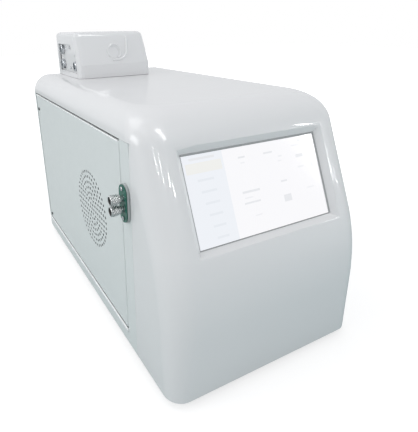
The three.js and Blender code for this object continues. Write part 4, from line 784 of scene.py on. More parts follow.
    def lamp(self, name: str, place: Triple, size: Pair, power: float, behind: bool = False) -> Piece:
        """One rectangular lamp, turned to the hood's front corner.

        Args:
            name: its name.
            place: its two angles and its distance.
            size: its width and height.
            power: its power in watts.
            behind: whether it stands behind the object.

        Returns:
            The lamp.
        """
        turn, rise = math.radians(place[0]), math.radians(place[1])
        depth = math.cos(turn) if behind else -math.cos(turn)
        toward = Vector((math.sin(turn) * math.cos(rise), depth * math.cos(rise), math.sin(rise)))
        data = bpy.data.lights.new(name, "AREA")
        data.shape = "RECTANGLE"
        data.size, data.size_y = size
        data.energy = power
        lamp = bpy.data.objects.new(name, data)
        lamp.location = Vector(self.lit) + toward * place[2]
        lamp.rotation_euler = (-toward).to_track_quat("-Z", "Y").to_euler()
        bpy.context.scene.collection.objects.link(lamp)
        return lamp

    def camera(self) -> None:
        """The camera, fitted to the photograph's frame."""
        data = bpy.data.cameras.new("photo_camera")
        longest = max(self.image)
        data.sensor_fit = "AUTO"
        data.sensor_width = 36.0
        data.lens = self.lens_pixels * data.sensor_width / longest
        data.shift_x = (self.image[0] / 2 - self.axis_pixel[0]) / longest
        data.shift_y = -(self.image[1] / 2 - self.axis_pixel[1]) / longest
        data.clip_start = 0.01
        back = -Vector(self.forward).normalized()
        up = back.cross(Vector(self.right).normalized()).normalized()
        right = up.cross(back).normalized()
        camera = bpy.data.objects.new("photo_camera", data)
        camera.matrix_world = Matrix.Translation(self.eye) @ Matrix((right, up, back)).transposed().to_4x4()
        bpy.context.scene.collection.objects.link(camera)
        bpy.context.scene.camera = camera


@dataclass
class FrontFace:
    """The leaning front face and the display's own frame on it."""

    width: float = 260.0
    height: float = 283.0
    lean: float = math.radians(25.0)
    lean_start: float = 283.0 * 0.434
    chin_radius: float = 283.0 * 0.7067
    brow_radius: float = 283.0 * 0.1767
    screen: Pair = (174.0, 283.0 * 0.3269)
    screen_z: float = 283.0 * 0.7166
    recess: float = 6.6

    def chin_start(self) -> float:
        """Height at which the chin's curve starts."""
        return self.lean_start - self.chin_radius * math.tan(self.lean / 2)

    def brow_centre(self) -> Pair:
        """Depth and height of the brow's centre.

        Returns:
            The two.
        """
        z = self.height - self.brow_radius
        start_z = z + self.brow_radius * math.sin(self.lean)
        return (start_z - self.lean_start) * math.tan(self.lean) + self.brow_radius * math.cos(self.lean), z

    def front(self, z: float) -> float:
        """Depth of the front face at a height.

        Args:
            z: the height.

        Returns:
            The depth.
        """
        start = self.chin_start()
        centre_y, centre_z = self.brow_centre()
        if z < start:
            return 0.0
        if z < start + self.chin_radius * math.sin(self.lean):
            return self.chin_radius - math.sqrt(self.chin_radius ** 2 - (z - start) ** 2)
        if z < centre_z + self.brow_radius * math.sin(self.lean):
            return (z - self.lean_start) * math.tan(self.lean)
        return centre_y - math.sqrt(max(self.brow_radius ** 2 - (z - centre_z) ** 2, 0.0))

    def at(self, u: float, v: float, n: float) -> Vector:
        """A place in the display's frame, whose middle is nought.

        Args:
            u: across.
            v: up the face.
            n: out of the face.

        Returns:
            The place in case millimetres.
        """
        sine, cosine = math.sin(self.lean), math.cos(self.lean)
        y = (self.screen_z - self.lean_start) * math.tan(self.lean)
        return Vector((self.width / 2 + u, y + sine * v - cosine * n, self.screen_z + cosine * v + sine * n))

    def toward(self, u: float, v: float, n: float) -> Vector:
        """A direction in the display's frame."""
        return self.at(u, v, n) - self.at(0, 0, 0)

    def corners(self, grown: float = 0.0) -> list[Pair]:
        """The screen's corners across and up the face, moved out by a distance."""
        u, v = self.screen[0] / 2 + grown, self.screen[1] / 2 + grown
        return [(-u, -v), (u, -v), (u, v), (-u, v)]


@dataclass
class Hood:
    """The moulded hood: front, brow, shoulders and top in one glossy shell."""

    face: FrontFace
    depth: float = 474.0
    front_depth: float = 120.0
    wall: float = 3.0
    lip: float = 0.06
    shoulder: float = 28.0
    corners: Pair = (20.0, 30.0)
    blend_height: float = 100.0
    seam: float = 84.0
    corner_steps: int = 10
    rim: float = 2.2
    edge: float = 0.6

    def side(self, z: float) -> float:
        """Distance of the side from the case's side plane at a height."""
        rise = max(z - (self.face.height - self.shoulder), 0.0)
        return self.shoulder - math.sqrt(max(self.shoulder ** 2 - rise ** 2, 0.0))

    def columns(self) -> list[float]:
        """Shares of the straight front between its corners, two of them at the recess' sides.

        Returns:
            The shares.
        """
        straight = self.face.width - 2 * self.corners[1]
        edge = self.face.width / 2 - self.face.screen[0] / 2 - self.face.recess - self.corners[1]
        share = edge / straight
        return [share + (1 - 2 * share) * step / 8 for step in range(9)]

    def ring(self, z: float) -> list[Vector]:
        """The outline at a height, from the left rear round the front to the right rear.

        Args:
            z: the height.

        Returns:
            The outline's points.
        """
        side, front = self.side(z), self.face.front(z)
        low, high = self.corners
        corner = low + (high - low) * min(max(z / self.blend_height, 0), 1)
        left, right = side + corner, self.face.width - side - corner
        points = [Vector((side, self.depth, z))]
        for centre, start in ((left, math.pi), (right, math.pi * 1.5)):
            for step in range(self.corner_steps + 1):
                angle = start + step / self.corner_steps * math.pi / 2
                x, y = centre + corner * math.cos(angle), front + corner + corner * math.sin(angle)
                points.append(Vector((x, y, z)))
            if centre == left:
                straight = self.face.width - 2 * (side + corner)
                points += [Vector((left + straight * share, front, z)) for share in self.columns()]
        return points + [Vector((self.face.width - side, self.depth, z))]

    def heights(self) -> list[float]:
        """Heights of the rows, with rows exactly at the recess' edges and the skirt.

        Returns:
            The heights in order.
        """
        face = self.face
        half = (face.screen[1] / 2 + face.recess) * math.cos(face.lean)
        start, top = face.chin_start(), face.height - self.shoulder
        rows = {0.0, 25.0, 50.0, start, top, face.brow_centre()[1] + face.brow_radius * math.sin(face.lean)}
        rows |= {face.screen_z + share * half for share in (-1.0, -0.5, 0.0, 0.5, 1.0)}
        rows |= {start + face.chin_radius * math.sin(face.lean * step / 10) for step in range(1, 10)}
        rows |= {top + self.shoulder * math.sin(math.pi / 2 * step / 14) for step in range(1, 15)}
        ordered = sorted(rows)
        return ordered[:1] + [z for before, z in zip(ordered, ordered[1:]) if z - before > 0.05]

    def build(self) -> None:
        """Makes the shell with its display recess."""
        shape = bmesh.new()
        ring: Ring = []
        for z in self.heights():
            places = self.ring(z)
            ring = extruded_ring(shape, ring, places, False) if ring else drawn_ring(shape, places, False)
        bmesh.ops.contextual_create(shape, geom=ring)
        cut(shape, (0, self.seam, 0), (0, 1, 0))
        skirt = self.face.height - self.shoulder
        middles = [(part, part.calc_center_median()) for part in shape.faces]
        gone = [part for part, middle in middles if middle.z < skirt and middle.y > self.seam]
        bmesh.ops.delete(shape, geom=gone, context="FACES")
        self.open_recess(shape)
        bmesh.ops.recalc_face_normals(shape, faces=shape.faces)
        if max(shape.faces, key=lambda part: part.calc_center_median().z).normal.z < 0:
            bmesh.ops.reverse_faces(shape, faces=shape.faces)
        settled("hood_shell", shape, Finish.SHELL, node="hood", sharp=50.0, modify=self.thicken)

    def open_recess(self, shape: Mesh) -> None:
        """Opens the front for the display and draws its sloped walls inward.

        Args:
            shape: the hood's outer skin.
        """
        face = self.face
        half_u, half_v = face.corners(face.recess)[2]
        reach_z = half_v * math.cos(face.lean)
        inside = [
            part for part, middle in [(part, part.calc_center_median()) for part in shape.faces]
            if abs(middle.x - face.width / 2) < half_u and abs(middle.z - face.screen_z) < reach_z
            and middle.y < self.front_depth and abs(part.normal.x) < 0.2
        ]
        rim = {
            edge for part in inside for edge in part.edges
            if any(near not in inside for near in edge.link_faces)
        }
        bmesh.ops.delete(shape, geom=inside, context="FACES")
        rim_edges = [edge for edge in rim if edge.is_valid]
        fresh = extruded(shape, rim_edges)
        upward = face.toward(0, 1, 0).normalized()
        for vertex in fresh:
            u = (vertex.co.x - face.width / 2) * (face.screen[0] / 2) / half_u
            v = (vertex.co - face.at(0, 0, 0)).dot(upward) * (face.screen[1] / 2) / half_v
            vertex.co = face.at(u, v, -face.recess)
        walls = shape.verts.layers.deform.verify()
        for vertex in shape.verts:
            vertex[walls][0] = self.lip if vertex in fresh else 1.0
        bmesh.ops.bevel(
            shape, geom=rim_edges, offset=self.rim, offset_type="OFFSET", affect="EDGES", segments=4,
            profile=0.5, material=-1,
        )

    def thicken(self, piece: Piece) -> None:
        """Gives the skin its wall and softly rounded edges.

        Args:
            piece: the hood.
        """
        piece.vertex_groups.new(name="wall")
        solid = piece.modifiers.new("wall", "SOLIDIFY")
        solid.thickness = self.wall * MILLI
        solid.offset = -1
        solid.vertex_group = "wall"
        solid.thickness_vertex_group = 0.0
        edge = piece.modifiers.new("edge", "BEVEL")
        edge.width = self.edge * MILLI
        edge.segments = 3
        edge.limit_method = "ANGLE"
        edge.angle_limit = math.radians(50)


@dataclass
class TouchDisplay(SubAssembly):
    """The lit touch display in the hood's recess. Gasket bead radii are given below, right, above and left; the
    fuller ones above and at the right are painted shade.
    """

    face: FrontFace
    overlap: float = 3.5
    thickness: float = 2.5
    gap: float = 0.3
    border: float = 0.7
    # a real gasket, whose thicker radii above and at the right are painted shade
    gasket_and_shade_beads: tuple[float, float, float, float] = (0.45, 0.9, 1.1, 0.35)
    white: Triple = (0.985, 0.98, 1.0)
    black: Triple = (0.01, 0.01, 0.01)

    def fields(self) -> list[tuple[float, float, float, float, Triple]]:
        """Generic fields of the picture: left, low, right and high shares of the screen, and a colour.

        Returns:
            The fields, each drawn over those before it.
        """
        mark, faint, side = (0.83, 0.84, 0.865), (0.90, 0.905, 0.93), (0.89, 0.915, 0.96)
        label, key = (0.83, 0.86, 0.905), (0.895, 0.895, 0.865)
        labels = [
            (0.08 + 0.01 * step, 0.70 - 0.125 * step, 0.19 + 0.004 * step, 0.725 - 0.125 * step, label)
            for step in range(6)
        ]
        return [
            (0.004, 0.008, 0.275, 0.992, side), (0.02, 0.79, 0.26, 0.90, key),
            (0.05, 0.93, 0.22, 0.955, mark), *labels, (0.38, 0.86, 0.43, 0.88, mark),
            (0.39, 0.80, 0.42, 0.815, faint), (0.57, 0.855, 0.64, 0.875, mark),
            (0.68, 0.79, 0.71, 0.81, faint), (0.67, 0.74, 0.7, 0.755, faint), (0.80, 0.88, 0.87, 0.90, faint),
            (0.86, 0.93, 0.96, 0.95, mark), (0.89, 0.82, 0.95, 0.88, faint), (0.82, 0.745, 0.88, 0.78, mark),
            (0.82, 0.62, 0.87, 0.64, faint), (0.93, 0.60, 0.955, 0.67, faint), (0.66, 0.50, 0.71, 0.52, mark),
            (0.36, 0.47, 0.49, 0.495, mark), (0.37, 0.41, 0.43, 0.425, faint), (0.36, 0.35, 0.48, 0.37, mark),
            (0.66, 0.27, 0.72, 0.35, mark), (0.42, 0.2, 0.47, 0.215, faint), (0.86, 0.36, 0.92, 0.375, faint),
        ]

    def build(self) -> None:
        """Makes the glass with its picture, the panel behind it and the gasket round it, fuller above and at
        the right as painted shade.
        """
        near = -self.face.recess - self.gap
        shape = bmesh.new()
        places = [self.face.at(u, v, near) for u, v in self.face.corners(self.overlap)]
        shape.faces.new(drawn_ring(shape, places))
        self.cut_picture(shape)
        fresh = extruded(shape, open_edges(shape))
        bmesh.ops.translate(shape, vec=-self.face.toward(0, 0, 1) * self.thickness, verts=fresh)
        bmesh.ops.contextual_create(shape, geom=open_edges(shape))
        bmesh.ops.recalc_face_normals(shape, faces=shape.faces)
        self.colour_picture(settled("touch_screen", shape, Finish.SCREEN, node="touch_glass"))
        self.copy(Finish.DARK, 0.5, "display_panel")
        corners = self.face.corners()
        sides = []
        # painted shade: the grey bead is fuller where shade falls along the recess' top and right
        for start, stop, bead in zip(corners, corners[1:] + corners[:1], self.gasket_and_shade_beads):
            ends = [self.face.at(u, v, bead * 0.4 - self.face.recess) for u, v in (start, stop)]
            sides.append(swept(ends, bead, 12))
        settled("display_gasket_and_shade", merged(*sides), Finish.GASKET, sharp=50.0)

    def cut_picture(self, shape: Mesh) -> None:
        """Cuts the glass along the picture's fields.

        Args:
            shape: the glass.
        """
        fields = self.fields()
        for side, direction in enumerate((self.face.toward(1, 0, 0), self.face.toward(0, 1, 0))):
            length = self.face.screen[side]
            edge = self.border / length
            for share in sorted({edge, 1 - edge} | {part[side + end] for part in fields for end in (0, 2)}):
                cut(shape, self.face.at(0, 0, 0) + direction * (share - 0.5) * length, direction)

    def colour_picture(self, piece: Piece) -> None:
        """Gives each face of the glass its part of the picture.

        Args:
            piece: the glass.
        """
        layer = piece.data.attributes.new(PICTURE, "FLOAT_COLOR", "CORNER")
        width, height = self.face.screen
        edge_u, edge_v = self.border / width, self.border / height
        out, upward = self.face.toward(0, 0, 1), self.face.toward(0, 1, 0)
        for part in piece.data.polygons:
            place = CASE_TO_ROW.inverted() @ part.center - self.face.at(0, 0, 0)
            u, v = place.x / width + 0.5, place.dot(upward) / height + 0.5
            lit = part.normal.dot(out) > 0.9 and edge_u < u < 1 - edge_u and edge_v < v < 1 - edge_v
            tints = [
                tint for left, low, right, high, tint in self.fields()
                if left < u < right and low < v < high
            ]
            colour = [self.white, *tints][-1] if lit else self.black
            for corner in part.loop_indices:
                layer.data[corner].color = (*colour, 1.0)


@dataclass
class VentedDoor(SubAssembly):
    """The hinged side door, a sheet pan with a round field of punched holes.

    The painted highlight bead along its top has a depth, a distance below the edge and a radius. Pairs of the
    sill's painted highlight and of the seal are distances at their two ends, and the seal, whose black is also
    painted shade, reaches below and above the door.
    """

    depth: float = 12.0
    skin: float = 0.9
    edge: float = 2.0
    vent: Pair = (209.0, 139.0)
    rings: int = 7
    pitch: float = 7.05
    hole: float = 1.9
    lip: float = 0.2
    margin: float = 3.0
    hole_steps: int = 14
    filter_radius: float = 52.0
    bead: Triple = (0.75, 0.85, 0.95)
    sill_x: Pair = (-1.5, 0.3)
    sill_past: Pair = (2.0, 3.0)
    sill_below: Pair = (3.9, 0.25)
    seal_x: Pair = (2.0, 4.6)
    seal_front: Pair = (2.1, 0.35)
    seal_reach: Triple = (2.0, 2.1, 2.3)
    seal_gap: float = 0.3
    seal_edge: float = 0.3

    def holes(self) -> list[Pair]:
        """Middles of the holes, in rings round the vent's middle.

        Returns:
            Their depths and heights.
        """
        middles, (y, z) = [self.vent], self.vent
        for ring in range(1, self.rings + 1):
            reach = ring * self.pitch
            for angle in (math.tau * step / (ring * 6) for step in range(ring * 6)):
                middles.append((y + reach * math.cos(angle), z + reach * math.sin(angle)))
        return middles

    def build(self) -> None:
        """Makes the door, what hangs it and its fan, filter, painted highlight strips and seal, whose black is
        also painted shade.
        """
        low, high = (CASE_TO_ROW.inverted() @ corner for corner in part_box("side_door"))
        shape = soft_block((0, low.y, low.z), (self.depth, high.y, high.z), self.edge, 3)
        self.punch(shape)
        settled("side_door_form", shape, Finish.PAINT, Body.DOOR, "side_door", 30.0, self.thicken)
        self.copy(Finish.STEEL, 0.5, "hinge_rail", body=Body.DOOR)
        self.copy(Finish.DARK, 0.35, "upper_hinge_screw", "lower_hinge_screw", body=Body.DOOR, segments=3)
        self.copy(Finish.DARK, 0.8, "door_fan_frame", body=Body.DOOR)
        self.copy(Finish.DARK, 0.3, "door_fan_rotor", body=Body.DOOR_FAN)
        self.filter()
        self.highlight_strips(low, high)
        self.seal(low, high)

    def punch(self, shape: Mesh) -> None:
        """Opens the pan's back and punches its front, with a small lip round each hole.

        Args:
            shape: the pan as a full block.
        """
        bmesh.ops.delete(shape, geom=[part for part in shape.faces if part.normal.x > 0.3], context="FACES")
        front = next(part for part in shape.faces if part.normal.x < -0.99)
        bmesh.ops.inset_region(shape, faces=[front], thickness=self.margin, depth=0.0)
        rim = list(front.edges)
        bmesh.ops.delete(shape, geom=[front], context="FACES_ONLY")
        steps = [math.tau * step / self.hole_steps for step in range(self.hole_steps)]
        turn = [(math.cos(angle), math.sin(angle)) for angle in steps]
        reach = self.hole + self.lip
        rings = [
            drawn_ring(shape, [(0, y + reach * u, z + reach * v) for u, v in turn])
            for y, z in self.holes()
        ]
        edges = rim + [edge for edge in shape.edges if not edge.link_faces]
        bmesh.ops.triangle_fill(shape, use_beauty=True, use_dissolve=False, edges=edges, normal=(-1, 0, 0))
        for (y, z), ring in zip(self.holes(), rings):
            extruded_ring(shape, ring, [(self.lip, y + self.hole * u, z + self.hole * v) for u, v in turn])
        bmesh.ops.recalc_face_normals(shape, faces=shape.faces)
        if max(shape.faces, key=lambda part: part.calc_area()).normal.x > 0:
            bmesh.ops.reverse_faces(shape, faces=shape.faces)

    def thicken(self, piece: Piece) -> None:
        """Gives the sheet its thickness.

        Args:
            piece: the door.
        """
        solid = piece.modifiers.new("sheet", "SOLIDIFY")
        solid.thickness = self.skin * MILLI
        solid.offset = -1

    def filter(self) -> None:
        """The dark foam disc behind the holes, dished between its rings."""
        near, far, radius = self.skin + 0.1, self.skin + 1.6, self.filter_radius
        rings = [(radius - 6.5 * step, near + (0.5 if step % 2 else 0.0)) for step in range(8)]
        profile = [(0.0, far), (radius - 1.0, far), (radius, far - 0.4), *rings, (0.0, near)]
        settled("vent_filter", turned(profile, Axis.X, (0, *self.vent), 64), Finish.FOAM_AND_SHADE, Body.DOOR)

    def highlight_strips(self, low: Vector, high: Vector) -> None:
        """Painted highlights: white strips along the door's top edge and along the sill below it.

        Args:
            low: the door's lowest corner.
            high: the door's highest corner.
        """
        # painted highlight: a white rod for the glint on the door's bent top edge
        depth, below, radius = self.bead
        start, stop = low.y + self.edge, high.y - self.edge
        along = [(depth, start + (stop - start) * step / 8, high.z - below) for step in range(9)]
        settled("door_edge_highlight", swept(along, radius, 14), Finish.HIGHLIGHT, Body.DOOR, sharp=50.0)
        # painted highlight: a white strip for the glint on the sill's rolled edge
        (near, far), (before, past), (foot, top) = self.sill_x, self.sill_past, self.sill_below
        sill = soft_block((near, low.y - before, low.z - foot), (far, high.y + past, low.z - top), 0.7, 4)
        settled("sill_highlight", sill, Finish.HIGHLIGHT, sharp=50.0)

    def seal(self, low: Vector, high: Vector) -> None:
        """The black seal in the gaps in front of, above and below the door, whose black also paints the shade
        in those gaps.

        Args:
            low: the door's lowest corner.
            high: the door's highest corner.
        """
        (near, far), (out, back), gap = self.seal_x, self.seal_front, self.seal_gap
        (foot, deep, top), edge, front = self.seal_reach, self.seal_edge, low.y - out
        strips = [
            soft_block((near, front, low.z - foot), (far, low.y - back, high.z + top), edge),
            soft_block((near, front, high.z + gap), (far, high.y, high.z + top), edge),
            soft_block((near, front, low.z - deep), (far, high.y, low.z - gap), edge),
        ]
        # partly a real seal and partly painted shade: its black darkens the gaps
        settled("door_seal_and_shade", merged(*strips), Finish.RUBBER)


@dataclass
class SamplePorts(SubAssembly):
    """The port plate beside the door with its two tube fittings."""

    centre: Pair = (94.0, 283.0 * 0.6763)
    spacing: float = 11.8
    outer_x: float = -18.4
    length: float = 11.5
    plate_x: float = -4.9
    screw_rise: float = 16.2
    radius: float = 5.3
    ridges: int = 12
    knurl_depths: Pair = (0.06, 0.015)

    def build(self) -> None:
        """Makes the boss, the green face, the unions, the knurled nuts and the screws."""
        self.copy(Finish.GREY, 0.7, "port_boss", segments=3)
        self.copy(Finish.GREEN, 0.25, "port_face")
        y, z = self.centre
        for node, side, body in (("inlet", 1, Body.INLET_KNOB), ("outlet", -1, Body.OUTLET_KNOB)):
            self.copy(Finish.STEEL, 0.3, f"{node}_union")
            self.nut(node, (0, y, z + side * self.spacing / 2), body)
        for name, side in (("upper", 1), ("lower", -1)):
            head = screw_heads(Axis.X, -1, 2.3, 0.9, (self.plate_x, y, z + side * self.screw_rise))
            settled(f"{name}_port_screw", head, Finish.STEEL)

    def nut(self, node: str, centre: Triple, body: Body) -> None:
        """One knurled nut with the ferrule in it.

        Args:
            node: the fitting's name.
            centre: a point on its axis.
            body: the body that it turns with.
        """
        outer, inner, steps = self.outer_x, self.outer_x + self.length, 96
        knurl = inner - 2.6
        profile = [
            (3.3, inner), (4.2, inner), (4.7, inner - 0.5), (4.8, inner - 1.4), (4.3, inner - 1.7),
            (4.3, inner - 2.2), *((4.9 + 0.45 * step / 14, knurl - 0.5 * step) for step in range(15)),
            (5.0, outer + 1.6), (5.2, outer + 1.2), (self.radius, outer + 0.8), (5.1, outer + 0.2),
            (4.9, outer), (4.4, outer), (4.2, outer + 0.3), (4.2, outer + 2.5), (3.3, outer + 2.5),
            (3.3, inner),
        ]
        shape = turned(profile, Axis.X, centre, steps)
        for vertex, arm, _ in arms(shape, Axis.X, centre, steps):
            along = knurl - vertex.co.x
            if -0.1 < along < 7.1 and arm.length > 4.6:
                turn, twist = self.ridges * math.atan2(arm.z, arm.y), self.ridges * along / self.radius
                ridge, cross = self.knurl_depths
                vertex.co += arm * (ridge * math.cos(turn - twist) + cross * math.cos(turn + twist))
        settled(f"{node}_nut_form", shape, Finish.NUT, body, f"{node}_nut", 22.0)
        rim = [
            (4.15, 2.2), (4.15, 0.5), (3.9, 0.25), (2.6, 0.9), (1.2, 1.6), (0.9, 2.0), (0.9, 3.8), (0.0, 3.8),
            (0.0, 4.0), (3.2, 4.0), (3.2, 2.7), (4.15, 2.4),
        ]
        ferrule = turned([(radius, outer + along) for radius, along in rim], Axis.X, centre, 40)
        settled(f"{node}_ferrule", ferrule, Finish.RUBBER, body)


@dataclass
class TopModule(SubAssembly):
    """The small module on the hood's rear with its port plate and connectors."""

    low: Triple = (47.0, 363.5, 283.3)
    band: float = 19.5
    lean: float = math.atan2(14.0, 46.5)
    ring_centre: Pair = (108.5, 37.5)
    ring_radius: float = 10.5
    plate_x: float = 49.6

    def on_slope(self, x: float, height: float, out: float) -> Vector:
        """A place on the front slope: across the case, above the module's foot and out of the slope."""
        y = self.low[1] + (height - self.band) * math.tan(self.lean)
        return Vector((x, y - out * math.cos(self.lean), self.low[2] + height + out * math.sin(self.lean)))

    def build(self) -> None:
        """Makes the cover with its raised hook and ring, the plate and the connectors."""
        self.copy(Finish.SHELL, 1.5, "module_cover", sharp=14.0, segments=4)
        self.copy(Finish.SHELL, 0.3, "module_port_plate")
        hook = [
            (131.8, 57.5), (131.2, 50), (130.2, 42), (128.4, 35), (124.8, 30), (119.5, 27.2), (112.5, 25.6),
            (104.5, 25.5),
        ]
        rib = swept(smooth_line([self.on_slope(x, height, 0.1) for x, height in hook], 5), 2.1, 14)
        (x, height), reach = self.ring_centre, self.ring_radius
        turn = [math.radians(-60.0 + 15.0 * step) for step in range(20)]
        ring = [(x + reach * math.cos(angle), height + reach * math.sin(angle)) for angle in turn]
        arc = [self.on_slope(*place, -0.2) for place in ring]
        settled("module_rib", merged(rib, swept(arc, 1.75, 14)), Finish.SHELL, sharp=50.0)
        for name, y, z in (("front", 47.0, 43.5), ("middle", 19.6, 32.0), ("low", 49.0, 13.0)):
            head = screw_heads(Axis.X, -1, 2.1, 1.0, (self.plate_x, self.low[1] + y, self.low[2] + z))
            settled(f"{name}_plate_screw", head, Finish.CHROME)
        connectors = [f"{name}_module_connector" for name in ("upper", "lower", "front")]
        self.copy(Finish.STEEL, 0.35, *connectors, segments=3)


@dataclass
class CaseSheets(SubAssembly):
    """Frame, pan, feet, side and rear sheets and the partition."""

    rear_y: float = 473.4
    right_x: float = 260.6

    def build(self) -> None:
        """Makes each sheet and foot, and the screws of the rear and right sheets."""
        self.copy(Finish.PAINT, 0.3, "left_frame")
        self.copy(Finish.PAINT, 0.4, "right_panel")
        self.copy(Finish.PAINT, 0.3, "rear_panel")
        self.copy(Finish.ZINC, 0.3, "base_tray", "partition")
        feet = [f"{end}_{side}_foot" for end in ("front", "rear") for side in ("left", "right")]
        self.copy(Finish.RUBBER, 1.2, *feet, segments=3)
        self.copy(Finish.STEEL, 0.3, "upper_hinge_pin", "lower_hinge_pin")
        rear = [(x, self.rear_y, z) for x in (12, 130, 248) for z in (12, 243)]
        settled("rear_screws", screw_heads(Axis.Y, 1, 3.4, 1.7, *rear), Finish.STEEL, sharp=30.0)
        side = [(self.right_x, y, z) for y in (105.3, 462.0) for z in (16, 239)]
        settled("right_screws", screw_heads(Axis.X, 1, 3.4, 1.7, *side), Finish.STEEL, sharp=30.0)


@dataclass
class RearFittings(SubAssembly):
    """Fan, mains inlet, fuse, switch, sockets, louvres and waste fittings at the rear."""

    face: float = 472.8
    earth: Pair = (130.0, 44.0)
    fan: Pair = (200.0, 186.0)
    fan_screws: float = 35.8
    louvres: int = 9
    louvre_low: float = 150.0
    louvre_pitch: float = 9.0
    louvre_high: float = 4.6
    louvre_x: Pair = (34.0, 104.0)
    louvre_out: Pair = (-0.6, 2.2)
    slot_inset: float = 2.0
    slot_out: Pair = (-0.4, 1.1)
    slot_z: Pair = (-0.7, 0.5)
    guard_y: float = 474.2
    socket_seats: tuple[Triple, Triple] = ((155.6, 474.4, 82.0), (196.4, 474.4, 82.0))

    def build(self) -> None:
        """Makes each fitting."""
        self.copy(Finish.DARK, 0.8, "rear_fan_frame")
        self.copy(Finish.DARK, 0.3, "rear_fan_rotor", body=Body.REAR_FAN)
        self.copy(Finish.CHROME, 0.5, "rear_fan_guard")
        self.copy(Finish.DARK, 0.5, "power_inlet")
        self.copy(Finish.DARK, 0.4, "fuse_drawer", body=Body.FUSE)
        self.copy(Finish.DARK, 0.5, "switch_bezel")
        self.copy(Finish.DARK, 0.4, "power_rocker", body=Body.ROCKER, segments=3)
        self.copy(Finish.CHROME, 0.25, "data_sockets")
        self.copy(Finish.WHITE, 0.3, "waste_outlet")
        self.vents()
        self.fastenings()

    def vents(self) -> None:
        """Pressed louvres beside the fan, rounded above, with a black strip in the slot below each as painted
        shade in its opening.
        """
        heights = [self.louvre_low + self.louvre_pitch * step for step in range(self.louvres)]
        (left, right), (inner, outer) = self.louvre_x, [self.face + out for out in self.louvre_out]
        high = self.louvre_high
        ribs = [soft_block((left, inner, z), (right, outer, z + high), 2.0, 5) for z in heights]
        settled("rear_louvres", merged(*ribs), Finish.PAINT, sharp=50.0)
        # painted shade: black strips stand in for the dark openings under the louvres
        left, right, (low, high) = left + self.slot_inset, right - self.slot_inset, self.slot_z
        inner, outer = (self.face + out for out in self.slot_out)
        slots = [soft_block((left, inner, z + low), (right, outer, z + high), 0.3) for z in heights]
        settled("louvre_slot_shade", merged(*slots), Finish.FOAM_AND_SHADE)

    def fastenings(self) -> None:
        """Screws of guard and data sockets, and the earth stud with its nut."""
        x, z = self.fan
        reach = (-self.fan_screws, self.fan_screws)
        corners = [(x + across, self.guard_y, z + up) for across in reach for up in reach]
        guard = screw_heads(Axis.Y, 1, 2.9, 1.5, *corners)
        socket = screw_heads(Axis.Y, 1, 1.7, 0.9, *self.socket_seats)
        settled("rear_fitting_screws", merged(guard, socket), Finish.CHROME, sharp=30.0)
        washer = [
            (0.0, 0.0), (6.4, 0.0), (6.4, 0.9), (5.6, 1.2), (2.6, 1.2), (2.6, 7.4), (2.1, 8.2), (0.0, 8.2),
        ]
        nut = [(0.0, 1.2), (4.6, 1.2), (4.6, 5.0), (4.2, 5.4), (0.0, 5.4)]
        centre = (self.earth[0], 0, self.earth[1])
        parts = [
            turned([(radius, self.face + out) for radius, out in profile], Axis.Y, centre, steps)
            for profile, steps in ((washer, 36), (nut, 6))
        ]
        settled("earth_stud", merged(*parts), Finish.COPPER, sharp=30.0)


